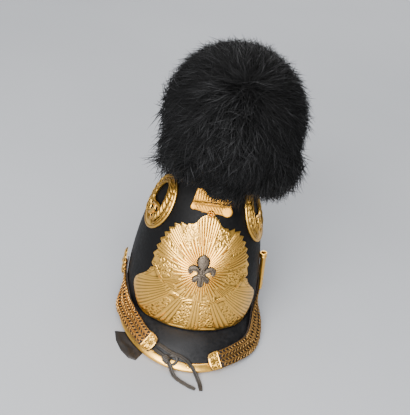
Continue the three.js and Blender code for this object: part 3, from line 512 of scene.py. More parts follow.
# Peak binding: a strip of gilt brass folded over the peak's edge, hammered smooth and a little crowned,
# and held by small domed rivets.
BINDING_PROFILE = [
    # out past the leather's edge, up over its face
    (-10, 0.45), (-10, 0.9), (-9.6, 1.3), (-8, 1.7), (-5, 1.95), (-2, 1.85), (0.2, 1.4), (1.4, 0.4),
    (1.9, -1.25), (1.4, -2.9), (0.2, -3.8), (-1.5, -4.05), (-4.6, -4.05), (-5, -3.7), (-5, -2.95),
    (0.3, -2.95), (0.3, 0.45),
]
BINDING_FULL_DEPTH = 30
BINDING_RIVETS = {"angles": (0, -60), "radius": 2.3, "inset": 5, "lift": 1.7}
RIVET_DOME = [
    # share of the radius, height
    (0, 0), (1, 0), (1, 0.3), (0.85, 0.8), (0.5, 1.15), (0, 1.3),
]


def surface_mark(tree, name):
    """Value of a mark on the surface that is being shaded."""
    return node(tree, "ShaderNodeAttribute", attribute_name=name).outputs["Fac"]


def gilt(name, bright, deep, roughness):
    """Gilt brass with a patchy tone of wear, and painted shade in the hollows that the piece's mark gives.
    """
    material, tree, shader, place = new_material(name)
    hollow = surface_mark(tree, "hollow")
    patches = cloud(tree, place, 55.0, 4.0)
    specks = cloud(tree, place, 900.0, 2.0)
    # The mark adds painted shade in the hollows to the patchy tone of wear
    inputs = {0: patches, 1: 0.35, 2: hollow}
    wear_and_shade = node(tree, "ShaderNodeMath", inputs, operation="MULTIPLY_ADD").outputs[0]
    middle = tuple(0.65 * b + 0.35 * d for b, d in zip(bright, deep))
    give(tree, shader, {
        "Base Color": ramp(tree, wear_and_shade, (0.08, bright), (0.45, middle), (1.0, deep)),
        "Roughness": spread(tree, patches, *roughness),
        "Metallic": 1.0,
        "Normal": bumps(tree, specks, 0.12, 0.2)})
    return material


gilt_brass = gilt("gilt_brass", (1.0, 0.56, 0.105), (0.24, 0.135, 0.026), (0.26, 0.38))


def start_tree(name, kinds):
    """Node tree for meshes, with the sockets of its named inputs."""
    tree = bpy.data.node_groups.new(name, "GeometryNodeTree")
    for label, kind in {"Geometry": "Geometry", **kinds}.items():
        tree.interface.new_socket(label, in_out="INPUT", socket_type="NodeSocket" + kind)
    tree.interface.new_socket("Geometry", in_out="OUTPUT", socket_type="NodeSocketGeometry")
    return tree, node(tree, "NodeGroupInput").outputs


def end_tree(tree, instances, finish):
    """Makes a tree's instances plain faces with a finish, and hands them out."""
    real = node(tree, "GeometryNodeRealizeInstances", {"Geometry": instances})
    inputs = {"Geometry": real.outputs["Geometry"], "Material": finish}
    done = node(tree, "GeometryNodeSetMaterial", inputs)
    node(tree, "NodeGroupOutput", {"Geometry": done.outputs["Geometry"]})


def mark_value(tree, name, kind):
    """Value of a mark that the mesh carries."""
    return node(tree, "GeometryNodeInputNamedAttribute", {"Name": name}, data_type=kind).outputs["Attribute"]


def points_tree():
    """Node tree that sets a shape on each point, turned by the point's facing and run directions."""
    tree, given = start_tree("set_on_points", {"Shape": "Object", "Finish": "Material", "Size": "Float"})
    turn = node(tree, "FunctionNodeAxesToRotation", {
        "Primary Axis": mark_value(tree, "facing", "FLOAT_VECTOR"),
        "Secondary Axis": mark_value(tree, "run", "FLOAT_VECTOR")}, primary_axis="Z", secondary_axis="X")
    shape = node(tree, "GeometryNodeObjectInfo", {"Object": given["Shape"]})
    placed = node(tree, "GeometryNodeInstanceOnPoints", {
        "Points": given["Geometry"], "Instance": shape.outputs["Geometry"],
        "Rotation": turn.outputs["Rotation"], "Scale": given["Size"]})
    end_tree(tree, placed.outputs["Instances"], given["Finish"])
    return tree


set_on_points = points_tree()


def bake_nodes(name, carrier, tree, settings):
    """Plain mesh piece from a node tree that is run on a carrier with settings for its named inputs."""
    modifier = carrier.modifiers.new("nodes", "NODES")
    modifier.node_group = tree
    for socket in tree.interface.items_tree:
        if socket.name in settings:
            modifier[socket.identifier] = settings[socket.name]
    evaluated = carrier.evaluated_get(bpy.context.evaluated_depsgraph_get())
    mesh = bpy.data.meshes.new_from_object(evaluated)
    mesh.name = name
    carrier.modifiers.remove(modifier)
    return link(bpy.data.objects.new(name, mesh))


def set_pieces(name, shape, places, facing, run, material):
    """Copies of a small shape, modelled round its own origin, on places of the helmet."""
    mesh = bpy.data.meshes.new(name + "_places")
    mesh.from_pydata(in_frame(places).tolist(), [], [])
    for mark, vectors in (("facing", facing), ("run", run)):
        values = np.broadcast_to(vectors, places.shape).astype(np.float32).ravel()
        mesh.attributes.new(mark, "FLOAT_VECTOR", "POINT").data.foreach_set("vector", values)
    carrier = link(bpy.data.objects.new(name + "_places", mesh))
    piece = bake_nodes(name, carrier, set_on_points, {"Shape": shape, "Finish": material, "Size": 1.0})
    bpy.data.objects.remove(carrier)
    return piece


def small_shape(name, shells, **marks):
    """Shape to be copied, made round the frame's origin."""
    moved = [(points + FOOT_MIDDLE, faces) for points, faces in shells]
    return make_piece(name, moved, None, **marks)


def turned(profile, sides):
    """Rings of a shape turned about Z, from pairs of radius and height."""
    turn = circle(sides)
    return np.array([joined(out * np.cos(turn), out * np.sin(turn), up) for out, up in profile])


def brass_binding():
    angle = np.linspace(-PEAK_HALF_ANGLE, PEAK_HALF_ANGLE, 161)
    edge = peak_surface(angle, 1.0)
    outward, normal = peak_frame(angle, 1.0)
    depth = np.linalg.norm(edge - peak_surface(angle, 0.0), axis=-1)
    fold = np.minimum(1, depth / BINDING_FULL_DEPTH)[:, None]
    profile = np.array(BINDING_PROFILE)
    out = np.where(profile[:, 0] < 0, profile[:, 0] * fold, profile[:, 0])
    rings = edge[:, None] + outward[:, None] * out[..., None] + normal[:, None] * profile[None, :, 1, None]
    return make_piece("brass_binding", [shell(rings)], gilt_brass)


def binding_rivets():
    dome = [(share * BINDING_RIVETS["radius"], up) for share, up in RIVET_DOME]
    shape = small_shape("rivet", [shell(turned(dome, 16))])
    angle = np.radians(BINDING_RIVETS["angles"])
    outward, normal = peak_frame(angle, 1.0)
    places = peak_surface(angle, 1.0) - outward * BINDING_RIVETS["inset"] + normal * BINDING_RIVETS["lift"]
    piece = set_pieces("binding_rivets", shape, places, normal, outward, gilt_brass)
    bpy.data.objects.remove(shape)
    return piece


fit(brass_binding(), "gilt_brass", "peak_binding")
fit(binding_rivets(), "gilt_brass")


# Front plate: thin brass stamped into a sunburst and gilt. Bundles of flutes run out from the badge to a
# toothed edge, with scrolled panels between them, and a roped garland parts the burst from the wings.
PLATE_HEIGHT = 126.0
PLATE_EDGE = np.array([
    # bearing from straight up, reach
    (0, 71), (9, 67), (18, 60), (27, 61), (40, 67), (60, 69), (84, 74), (95, 79), (106, 82),
    (112, 94), (119, 128), (128, 132), (138, 127), (148, 108), (158, 97), (169, 90), (180, 88),
], float)
PLATE_BUNDLES = [
    # bearing, half width, flute pitch, all in degrees
    (0, 14.5, 3.6), (51, 10.5, 3.5), (79, 9.5, 3.8), (126, 11, 2.25), (152, 6, 4.0), (180, 6, 4.0),
]
PLATE_PANELS = [
    # bearing, half width, nearest and farthest place of the scrolls
    (28, 12, 28, 57), (65, 4.5, 42, 64), (101, 10, 32, 70), (139, 6, 66, 118), (167, 8, 50, 86),
]
GARLAND = np.array([
    # bearing, distance from the badge
    (100, 76), (108, 69), (120, 61), (136, 54), (150, 49), (166, 45), (180, 44),
], float)
PLATE_TEETH = {"pitch": 9.5, "depth": 4.6, "first_bearing": 24, "last_bearing": 106, "fade": 10,
               "rise": 0.75}
PLATE_LIFT = {"inside": 0.3, "outside": 1.1}
SHEET_RISE = 0.25
RAY_RISE = 0.3
TRIM_RISE = 0.5
SOFT_ENDS = {"first": 5, "last": 4}
SCROLLS = {"in_area": 0.045, "spread": 0.85, "sizes": (1.8, 3.4), "half_turns": (1.0, 1.7), "start": 0.55}
RAYS = {"pitch": 7.2, "shortest": 32, "longer": 15, "fade": 4, "root": 6, "full": 18}
ROPE = {"first_bearing": 100, "last_bearing": 174, "half_width": 2.6, "outside": 3.8, "pitch": 4.6,
        "slant": 0.9}
WING_RIM = {"first_bearing": 98, "last_bearing": 122, "width": 7, "outside": 9, "pitch": 2.4}
ROLLED_EDGE = {"first_bearing": 116, "fade": 6, "width": 2.2, "outside": 3.6, "foot": 0.7, "rise": 0.6}
STAMPING = {"flutes": 0.85, "scrolls": 0.75, "scroll_width": 0.85, "rays": 1.1, "rope": 0.9, "rim": 0.9}


def smooth_step(low, high, value):
    t = np.clip((value - low) / (high - low), 0, 1)
    return t * t * (3 - 2 * t)


def flutes(angle, pitch):
    """Broad round ridges with sharp grooves between them."""
    return np.abs(np.cos(np.pi * angle / pitch)) ** 0.7


def blend(under, over, share):
    return under * (1 - share) + over * share


def between(band, bearing):
    """1 from a band's first bearing to its last, with soft ends."""
    first, last = band["first_bearing"], band["last_bearing"]
    begun = smooth_step(first, first + SOFT_ENDS["first"], bearing)
    return begun * (1 - smooth_step(last - SOFT_ENDS["last"], last, bearing))


def front_radius(height):
    """Mean of the skull's half width and its reach to the front."""
    return (skull_value(height, HALF_WIDTH) + skull_value(height, FRONT)) / 2


def on_front(across, height, lift):
    return on_skull(across / front_radius(height), height, lift)


def scroll_lines():
    """Points along the scrolls of every panel, on both sides: leafy hooks of many sizes, strewn evenly."""
    chance = np.random.default_rng(12)
    lines = []
    for bearing, half_width, near, far in PLATE_PANELS:
        middle = 0.5 * (near + far)
        count = int(SCROLLS["in_area"] * (far - near) * 2 * middle * np.radians(half_width))
        for i in range(count):
            reach = near + (far - near) * ((i + 0.5) / count)
            aside = np.radians(bearing + half_width * SCROLLS["spread"] * np.sin(2.4 * i + bearing))
            start, size = chance.uniform(0, 2 * np.pi), chance.uniform(*SCROLLS["sizes"])
            hand = 1 if i % 2 else -1
            turn = np.linspace(0, chance.uniform(*SCROLLS["half_turns"]) * np.pi, 24)
            grown = size * (SCROLLS["start"] + (1 - SCROLLS["start"]) * turn / turn[-1])
            across = reach * np.sin(aside) + grown * np.cos(start + hand * turn)
            up = reach * np.cos(aside) + grown * np.sin(start + hand * turn)
            lines.append(joined(across, up))
    half = np.vstack(lines)
    return np.vstack([half, half * (-1, 1)])


def distance_to(points, spots):
    """How far each of an array of flat points is from the nearest of some spots."""
    tree = KDTree(len(spots))
    for i, (x, y) in enumerate(spots):
        tree.insert((x, y, 0), i)
    tree.balance()
    return np.array([tree.find((x, y, 0))[2] for x, y in points])


def plate_relief(bearing, distance, edge):
    """Height of the stamping over the sheet, by bearing, distance from the badge, and reach of the edge."""
    folded = np.abs((bearing + 180) % 360 - 180)
    turn = np.radians(bearing)
    spots = joined(distance * np.sin(turn), distance * np.cos(turn))
    left = edge - distance
    in_bundle = np.zeros(folded.shape)
    height = np.full(folded.shape, SHEET_RISE)
    for middle, half_width, pitch in PLATE_BUNDLES:
        inside = 1 - smooth_step(half_width - 1, half_width + 1, np.abs(folded - middle))
        height += inside * (SHEET_RISE + STAMPING["flutes"] * flutes(folded - middle, pitch))
        in_bundle = np.maximum(in_bundle, inside)
    scroll = distance_to(spots.reshape(-1, 2), scroll_lines()).reshape(folded.shape)
    height += (1 - in_bundle) * STAMPING["scrolls"] * ridge(scroll, STAMPING["scroll_width"])
    # Short rays of uneven length round the badge
    ray_end = RAYS["shortest"] + RAYS["longer"] * np.sin(2.3 * np.round(bearing / RAYS["pitch"])) ** 2
    in_rays = 1 - smooth_step(ray_end - RAYS["fade"], ray_end, distance)
    standing = smooth_step(RAYS["root"], RAYS["full"], distance)
    rays = RAY_RISE + STAMPING["rays"] * flutes(bearing, RAYS["pitch"]) * standing
    height = blend(height, rays, in_rays)
    # Roped garland below the badge
    rope = distance - table_value(GARLAND[:, 0], GARLAND[:, 1], folded)
    on_rope = (1 - smooth_step(ROPE["half_width"], ROPE["outside"], np.abs(rope))) * between(ROPE, folded)
    twist = flutes(distance * np.radians(folded) + ROPE["slant"] * rope, ROPE["pitch"])
    height = blend(height, TRIM_RISE + STAMPING["rope"] * twist, on_rope)
    # Shell-like rim along the top of each wing, and a rolled edge round the rest of it
    shell_rim = between(WING_RIM, folded) * (1 - smooth_step(WING_RIM["width"], WING_RIM["outside"], left))
    height = blend(height, TRIM_RISE + STAMPING["rim"] * flutes(folded, WING_RIM["pitch"]), shell_rim)
    first, outside = ROLLED_EDGE["first_bearing"], ROLLED_EDGE["outside"]
    rolled = 1 - smooth_step(ROLLED_EDGE["width"], outside, left)
    rolled *= smooth_step(first, first + ROLLED_EDGE["fade"], folded)
    roll = ROLLED_EDGE["foot"] + ROLLED_EDGE["rise"] * np.sin(np.pi * np.clip(left / outside, 0, 1))
    return blend(height, roll, rolled)


def hollows(height, reach, depth):
    """Mark from 0 to 1 for places lower than what lies round them, in rings of points: painted shade in
    hollows.
    """
    level = height.copy()
    for axis in (0, 1):
        level = sum(np.roll(level, shift, axis) for shift in range(-reach, reach + 1)) / (2 * reach + 1)
    return np.clip((level - height) / depth, 0, 1)


def sunburst_plate():
    bearing = np.linspace(0, 360, 800, endpoint=False)
    folded = np.abs((bearing + 180) % 360 - 180)
    edge = table_value(PLATE_EDGE[:, 0], PLATE_EDGE[:, 1], folded)
    # Saw teeth, each with a steep flank towards the wings
    saw = (folded / PLATE_TEETH["pitch"]) % 1.0
    rise = PLATE_TEETH["rise"]
    tooth = np.where(saw < rise, saw / rise, (1 - saw) / (1 - rise))
    first, last = PLATE_TEETH["first_bearing"], PLATE_TEETH["last_bearing"]
    toothed = smooth_step(first, first + PLATE_TEETH["fade"], folded) * (folded < last)
    edge -= PLATE_TEETH["depth"] * (1 - tooth) * toothed
    share = np.linspace(0, 1, 96)[:, None]
    distance = share * edge
    relief = plate_relief(np.broadcast_to(bearing, distance.shape), distance, edge)
    relief *= smooth_step(0, 0.05, 1 - share) * 0.7 + 0.3
    turn = np.radians(bearing)
    back = np.linspace(1, 0, 14)[:, None]
    reach = np.vstack([distance, back * edge])
    flat_back = np.full((len(back), len(bearing)), PLATE_LIFT["inside"])
    lift = np.vstack([PLATE_LIFT["outside"] + relief, flat_back])
    rings = on_front(reach * np.sin(turn), PLATE_HEIGHT + reach * np.cos(turn), lift)
    # Painted shade: darker in the hollows of the stamping, and fully dark on the hidden back
    marks = np.vstack([hollows(relief, 3, 0.45), np.ones(flat_back.shape)])
    return make_piece("sunburst_plate", [shell(rings)], gilt_brass, sharp=60, hollow=marks)


fit(sunburst_plate(), "gilt_brass", "front_plate")


# Fleur-de-lys: a small cast badge of silver gone dark, pinned to the middle of the plate. A round
# middle petal with a pointed tip, two curled arms, a cross band and a foot of three lobes.
LILY = {"lift": 1.5, "ribs": 8, "thinnest": 0.2, "full_width": 3.0}
LILY_PETALS = [
    # rise, depth of its ribs, then stations of across, up, half width
    (2.4, 0.12, [(0, -4, 4.4), (0, 0, 3.9), (0, 4, 3.4), (0, 7, 2.2)]),
    (2.2, 0.0, [(0, 19, 3.0), (0, 21, 2.4), (0, 23, 1.3), (0, 25, 0.3)]),
    (3.4, 0.03, [(0, 3.4, 0.8), (0, 4.2, 3.8), (0, 6, 6.5), (0, 8.6, 8.4), (0, 12.6, 9.3), (0, 16.6, 8.4),
                 (0, 19.2, 6.5), (0, 21, 3.8), (0, 21.8, 0.8)]),
    (2.4, 0.12, [(2.2, -4.5, 2.2), (4.4, -0.6, 2.8), (8, 2.6, 3.7), (12, 3.4, 4.3), (15.2, 1.4, 4.3),
                 (15.8, -2, 3.7), (14.4, -4.4, 2.6)]),
    (3.2, 0.12, [(0, -4, 4.0), (0, -9, 4.5), (0, -13, 5.0), (0, -16.8, 5.0), (0, -19.8, 3.4),
                 (0, -21.3, 0.8)]),
    (2.7, 0.12, [(1.8, -6, 3.0), (4.8, -8.4, 4.2), (7.6, -10.4, 4.6), (8.8, -12.6, 4.0), (8.6, -15, 2.2)]),
    (4.0, 0.0, [(-6.4, -4.6, 1.2), (-5, -4.6, 2.0), (0, -4.6, 2.2), (5, -4.6, 2.0), (6.4, -4.6, 1.2)]),
]


def silver(name):
    """Old silver with a dark bloom, and painted shade where the piece's mark gives it."""
    material, tree, shader, place = new_material(name)
    hollow = surface_mark(tree, "hollow")
    bloom = cloud(tree, place, 650.0, 4.0)
    # Painted shade from the mark is added to the bloom
    dark = node(tree, "ShaderNodeMath", {0: bloom, 1: 1.1, 2: hollow}, operation="MULTIPLY_ADD").outputs[0]
    give(tree, shader, {
        "Base Color": ramp(tree, dark, (0.35, (0.125, 0.097, 0.071)), (0.95, (0.023, 0.017, 0.013))),
        "Roughness": spread(tree, bloom, 0.38, 0.6),
        "Metallic": 0.85,
        "Normal": bumps(tree, cloud(tree, place, 1100.0), 0.5, 0.5)})
    return material


old_silver = silver("old_silver")


def petal(stations, rise, ribs):
    """Domed petal along flat stations, with fine ribs of a given depth, and its mark of painted shade."""
    line = smooth_line(np.array(stations), 5)
    run = unit(np.gradient(line[:, :2], axis=0))
    across = joined(run[:, 1], -run[:, 0])
    turn = circle(32)
    rib = ribs * np.cos(LILY["ribs"] * turn)
    width = np.maximum(line[:, 2:], LILY["thinnest"])
    flat = line[:, None, :2] + across[:, None] * (width * np.cos(turn))[..., None]
    crown = np.minimum(1, width / LILY["full_width"])
    lift = np.where(np.sin(turn) > 0, rise * crown * np.sin(turn) ** 0.8 * (1 + rib), 0.0)
    # Painted shade, darkest at the petal's edges, underneath and in the grooves between its ribs
    mark = np.clip(1.1 - 1.5 * np.sin(turn) - 3 * rib, 0, 1)
    return flat, np.nan_to_num(lift), np.broadcast_to(mark, lift.shape)


def lily_badge():
    shells, marks = [], []
    for rise, ribs, stations in LILY_PETALS:
        hands = (1, -1) if stations[-1][0] > 0 and stations[0][0] > 0 else (1,)
        for hand in hands:
            flat, lift, mark = petal([(hand * x, y, w) for x, y, w in stations], rise, ribs)
            rings = on_front(flat[..., 0], PLATE_HEIGHT + flat[..., 1], LILY["lift"] + lift)
            shells.append(shell(rings))
            marks.append(mark.ravel())
    return make_piece("lily_badge", shells, old_silver, hollow=np.concatenate(marks))


fit(lily_badge(), "old_silver", "fleur_de_lys")


# Crest: a brass comb on the skull's midline that carries the bearskin, soldered to a moulded mask at its
# front end. A small flower rivet joins the mask to the plate.
COMB = {"half_width": 12.0, "edge": 3.0, "corner": 0.9, "lowest": 136.0, "bite": 2, "least_wall": 8}
COMB_TOE = [
    # along, height, as in the curves that follow
    (-62.5, 205), (-59, 216),
]
COMB_FRONT = [(-56, 229), (-30, 257), (4, 251)]
COMB_BACK = [(4, 251), (50, 251), (88, 214), (116, 152)]
MASK = {"top": 22.0, "bottom": 28.0, "height": 34.0, "metal": 3.0, "foot": 197.0, "seat": 198.0, "lean": 24,
        "middle": 15.0, "rebate": 1.2}
MASK_LOBES = {
    # hand, then radius, height of the middle, bend of the foot's edge beside it
    -1: (4.0, 9.0, -1.0),
    1: (7.0, 7.0, 4.0),
}
MASK_LOBE_ARC = (135, 288)
MASK_LINES = [
    # height, rise, half width
    (16, 0.9, 0.9), (12.6, 0.7, 0.8),
]
MASK_FLUTES = {"upper_pitch": 3.4, "upper_rise": 0.6, "lower_pitch": 3.8, "lower_rise": 0.5, "slant": 0.6}
FLOWER = {"height": 197.0, "lift": 6.4, "radius": 5.2, "rise": 3.2, "petals": 8, "core": 0.34}
ROSETTE = {"notch": 0.10, "petal": 0.35, "flute": 0.4, "core_foot": 0.3, "floor": 0.12, "swell": 0.85}
crest_gilt = gilt("crest_gilt", (0.92, 0.43, 0.05), (0.24, 0.11, 0.015), (0.28, 0.42))


def bezier(points, steps):
    """Points of a curve with two, three or four control points."""
    t = np.linspace(0, 1, steps)[:, None]
    level = [np.asarray(point, float) * np.ones_like(t) for point in points]
    while len(level) > 1:
        level = [a * (1 - t) + b * t for a, b in zip(level, level[1:])]
    return level[0]


def brass_comb():
    """Shell of the comb: along the midline, a box with rounded upper edges that sits down on the skull."""
    ridge_line = np.vstack([COMB_TOE, bezier(COMB_FRONT, 14), bezier(COMB_BACK, 24)[1:]])
    half, edge, corner = COMB["half_width"], COMB["edge"], COMB["corner"]
    heights = np.linspace(CROWN, 120, 200)
    rings = []
    for along, top in ridge_line:
        depth = skull_value(heights, FRONT if along < 0 else BACK)
        foot = np.interp(abs(along), depth, heights) - COMB["bite"]
        foot = max(min(foot, top - COMB["least_wall"]), COMB["lowest"])
        left = [(-half, foot), (-half, top - edge), (corner - half, top - corner), (edge - half, top)]
        section = left + [(-x, z) for x, z in reversed(left)]
        rings.append([(x, along, z) for x, z in section])
    return shell(np.array(rings))


def mask_half(radius, up, bend):
    """Outline of the mask's left half, from its top down to the middle of its foot, with a round lobe."""
    turn = np.radians(np.linspace(*MASK_LOBE_ARC, 20))
    lobe = joined(radius - MASK["bottom"] + radius * np.cos(turn), up + radius * np.sin(turn))
    inner = lobe[-1]
    foot = bezier([inner, (inner[0] / 2, inner[1] + bend), (0, 1)], 12)[1:]
    edge = bezier([(-MASK["top"], MASK["height"]), lobe[0]], 16)[:-1]
    return np.vstack([edge, lobe, foot])


def mask_outline():
    """Corner points of the mask: a trapezoid with a lobe at each lower corner."""
    left = mask_half(*MASK_LOBES[-1])
    right = (mask_half(*MASK_LOBES[1]) * (-1, 1))[::-1][1:]
    top = bezier([right[-1], left[0]], 24)[1:-1]
    return np.vstack([left, right, top])


def rounded(share, power=2):
    """Height of a rounded form, 1 in its middle and 0 from its edge out."""
    return np.sqrt(np.clip(1 - share ** power, 0, 1))


def mask_relief(x, y, left):
    """Stamping of the mask: two moulded lines, fluting above and below them, and a dome on each lobe."""
    upper = MASK_FLUTES["upper_rise"] * flutes(x, MASK_FLUTES["upper_pitch"])
    lower = MASK_FLUTES["lower_rise"] * flutes(x + MASK_FLUTES["slant"] * y, MASK_FLUTES["lower_pitch"])
    height = 0.5 + upper * smooth_step(17.5, 20, y)
    height += lower * smooth_step(1, 3, left) * (1 - smooth_step(10, 12, y))
    for middle, rise, half_width in MASK_LINES:
        height += rise * ridge(y - middle, half_width)
    for hand, (radius, up, _) in MASK_LOBES.items():
        from_lobe = np.hypot(x - hand * (MASK["bottom"] - radius), y - up)
        height = np.maximum(height, 0.6 + 0.1 * radius * rounded(from_lobe / radius))
    return height


def brass_mask():
    outline = mask_outline()
    middle = np.array([0.0, MASK["middle"]])
    lean = np.radians(MASK["lean"])
    seat = np.array([0, skull_surface(0.0, MASK["seat"])[1] - MASK["metal"], MASK["foot"]])
    share = np.linspace(0, 1, 48)[:, None, None]
    flat = middle + share * (outline - middle)
    left = (1 - share[..., 0]) * np.linalg.norm(outline - middle, axis=-1)
    relief = mask_relief(flat[..., 0], flat[..., 1], left)
    face = MASK["metal"] - MASK["rebate"] + relief * smooth_step(0, 1.0, left + 0.2)
    lift = np.concatenate([face, 0 * relief[::-6]])
    flat = np.concatenate([flat, flat[::-6]])
    x, y = flat[..., 0], flat[..., 1]
    along = y * np.sin(lean) - lift * np.cos(lean)
    up = y * np.cos(lean) + lift * np.sin(lean)
    rings = seat + joined(x, along, up)
    # Painted shade: the whole face half dark and darker still in its hollows, the back left without it
    marks = np.concatenate([0.5 + 0.5 * hollows(relief, 2, 0.25), 0 * relief[::-6]])
    return shell(rings), marks


def brass_crest():
    comb = brass_comb()
    mask, dark = brass_mask()
    marks = np.concatenate([np.full(len(comb[0]), 0.2), dark.ravel()])
    return make_piece("brass_crest", [comb, mask], crest_gilt, hollow=marks)


def on_axis(seat, axis, side, rings):
    """Moves rings made round Z so that Z lies along an axis and X towards one side."""
    axis = unit(np.asarray(axis, float))
    side = np.asarray(side, float)
    across = unit(side - axis * np.dot(side, axis))
    return seat + rings[..., :1] * across + rings[..., 1:2] * np.cross(axis, across) + rings[..., 2:] * axis


def rosette(radius, rise, petals, core):
    """Rings of a flower turned about Z, with round petals about a domed core, and its mark of painted shade.
    """
    turn = circle(12 * petals)
    share = np.linspace(0, 1, 30)[:, None]
    wave = flutes(turn, 2 * np.pi / petals)
    out = radius * share * (1 - ROSETTE["notch"] * (1 - wave) * smooth_step(core, 1, share))
    bowl = np.sin(np.pi * np.clip((share - core) / (1 - core), 0, 1)) ** 0.7
    bowl = bowl * (ROSETTE["petal"] + ROSETTE["flute"] * wave)
    dome = ROSETTE["core_foot"] + (1 - ROSETTE["core_foot"]) * rounded(share / core)
    up = rise * np.where(share < core, dome, ROSETTE["floor"] + bowl * ROSETTE["swell"])
    face = joined(out * np.cos(turn), out * np.sin(turn), up)
    back = face[::-5] * (1, 1, 0)
    # Painted shade in the hollows of the face, none on the back
    marks = np.vstack([hollows(up, 2, 0.12 * rise), np.zeros(back.shape[:2])])
    return np.vstack([face, back]), marks


def brass_rosette(name, form, angle, side):
    """Rosette over the skull that faces out from it."""
    rings, marks = rosette(form["radius"], form["rise"], form["petals"], form["core"])
    seat = on_skull(angle, form["height"], form["lift"])
    placed = on_axis(seat, skull_normal(angle, form["height"]), side, rings)
    return make_piece(name, [shell(placed)], gilt_brass, hollow=marks)


fit(brass_crest(), "gilt_brass", "crest")
fit(brass_rosette("crest_flower", FLOWER, 0.0, (1, 0, 0)), "gilt_brass", "crest_rivet")


# Side wreaths: stamped gilt ovals on the skull's sides. A smooth rod runs round the outside, laurel
# leaves lie in two rows inside it, and a pierced scroll fills the foot of the opening.
WREATH = {"angle": 73, "height": 177.0, "half_length": 32.0, "half_height": 36.0, "rod": 2.1, "lift": 0.9,
          "skull_radius": 75}
OPENING = {"along": 3.0, "up": 0.5, "half_length": 15.0, "half_height": 26.5}
LAUREL = {"length": 17.0, "width": 7.6, "rise": 2.6, "leaves": 9, "bare_foot": np.radians(38), "root": 0.3,
          "edge": 0.35, "lean": 1.2, "first": 0.25, "row_step": 0.4, "lift": 1.1, "row_drop": 0.3}
LEAF_SECTION = np.array([
    # share of the half width, share of the rise, painted shade
    (-1, 0, 1), (-0.75, 0.6, 0.85), (-0.45, 0.9, 0.45), (-0.12, 0.8, 0.55), (0, 0.35, 1),
    (0.12, 0.8, 0.55), (0.45, 0.9, 0.45), (0.75, 0.6, 0.85), (1, 0, 1), (0, -0.1, 1),
])
BAND_SECTION = np.array([
    # share of the band, rise
    (0.0, -0.4), (0.0, 0.4), (0.12, 0.8), (0.3, 1.0), (0.5, 1.05), (0.7, 1.0), (0.88, 0.7), (0.95, 0.2),
    (0.95, -0.4),
])
LAUREL_ROWS = [
    # share of the band from the opening out, lean of the leaves towards the opening
    (0.66, 0.0), (0.28, 0.5),
]
WREATH_SCROLL = {"stem_lift": 1.2, "stem_ends": 0.45, "eye_lift": 1.0, "eye_overlap": 0.8}
SCROLL_EYES = [
    # along, up, radius, half width of the rim
    (7, -14, 4.6, 1.2), (-6.5, -8, 3.6, 1.1), (-2, -19.5, 3.0, 1.0),
]
SCROLL_STEMS = [
    # half width in the middle, then points along and up
    (2.4, [(-13, -2), (-6, -1.6), (0, -3.2), (6, -5.4), (12, -4.6), (17.5, -2)]),
    (2.6, [(0.5, -3), (-0.8, -8), (0, -13), (3, -19.4), (9, -21), (15, -15.5)]),
    (2.0, [(-12, -11), (-9, -16), (-6, -22), (1, -25)]),
]


def on_side(side, flat, lift):
    """Places over the skull's side, from flat points about the wreath's middle."""
    height = WREATH["height"] + flat[..., 1]
    angle = np.radians(WREATH["angle"]) + flat[..., 0] / front_radius(height)
    return on_skull(side * angle, height, lift)


def oval_rod(side, half_length, half_height, wire, lift):
    """Round wire bent to an oval on the skull's side."""
    turn = circle(96)[:, None]
    section = circle(12)[None, :]
    along = (half_length + wire * np.cos(section)) * np.sin(turn)
    up = (half_height + wire * np.cos(section)) * np.cos(turn)
    return on_side(side, joined(along, up), lift + wire * np.sin(section))


def flat_wire(side, line, wire, lift):
    """Wire along flat points on the skull's side, as thick at each point as it says."""
    run = unit(np.gradient(line, axis=0))
    across = joined(run[:, 1], -run[:, 0])
    section = circle(8)
    width = np.broadcast_to(wire, len(line))[:, None]
    flat = line[:, None] + across[:, None] * (width * np.cos(section))[..., None]
    return on_side(side, flat, lift + width * np.sin(section))


def in_band(turn, share):
    """Flat places on a wreath's band: share runs from 0 at the opening to 1 at the outer edge."""
    wave = joined(np.sin(turn), np.cos(turn))
    inner = (OPENING["along"], OPENING["up"]) + wave * (OPENING["half_length"], OPENING["half_height"])
    outer = wave * (WREATH["half_length"], WREATH["half_height"])
    return inner + (outer - inner) * np.asarray(share)[..., None]


def band_sheet(side):
    """Sheet under the leaves, which swells into a bare moulding round the wreath's foot, and its mark of
    painted shade.
    """
    turn = circle(96)[:, None]
    share, rise = BAND_SECTION.T
    bare = 1 - smooth_step(0.7, 1.3, np.abs(turn - np.pi) / LAUREL["bare_foot"])
    lift = WREATH["lift"] + rise * (0.8 + 1.8 * bare)
    rings = on_side(side, in_band(turn, share), lift)
    # Painted shade darkens the sheet where it shows between the leaves, but not the bare moulding
    return rings, np.broadcast_to(1 - bare, lift.shape)


def wreath_frame(name, side):
    """Rod round the outside, the sheet under the leaves, and the scroll's stems and eyes."""
    lift, rod = WREATH["lift"], WREATH["rod"]
    rim = oval_rod(side, WREATH["half_length"] - rod, WREATH["half_height"] - rod, rod, lift + 0.6 * rod)
    sheet, dark = band_sheet(side)
    shells = [shell(rim, loop=True), shell(sheet, loop=True)]
    for width, points in SCROLL_STEMS:
        stem = smooth_line(points, 6)
        middle = np.sin(np.linspace(0, np.pi, len(stem)))
        swell = width * (WREATH_SCROLL["stem_ends"] + (1 - WREATH_SCROLL["stem_ends"]) * middle)
        shells.append(shell(flat_wire(side, stem, swell, lift + WREATH_SCROLL["stem_lift"])))
    for along, up, radius, width in SCROLL_EYES:
        turn = np.linspace(0, 2 * np.pi, 28)[:, None]
        round_eye = np.hstack([np.cos(turn), np.sin(turn)])
        eye = (along, up) + (radius + WREATH_SCROLL["eye_overlap"] * width) * round_eye
        shells.append(shell(flat_wire(side, eye, width, lift + WREATH_SCROLL["eye_lift"])))
    marks = [np.full(len(points), 0.3) for points, _ in shells]
    marks[1] = dark.ravel()
    return make_piece(name, shells, gilt_brass, hollow=np.concatenate(marks))


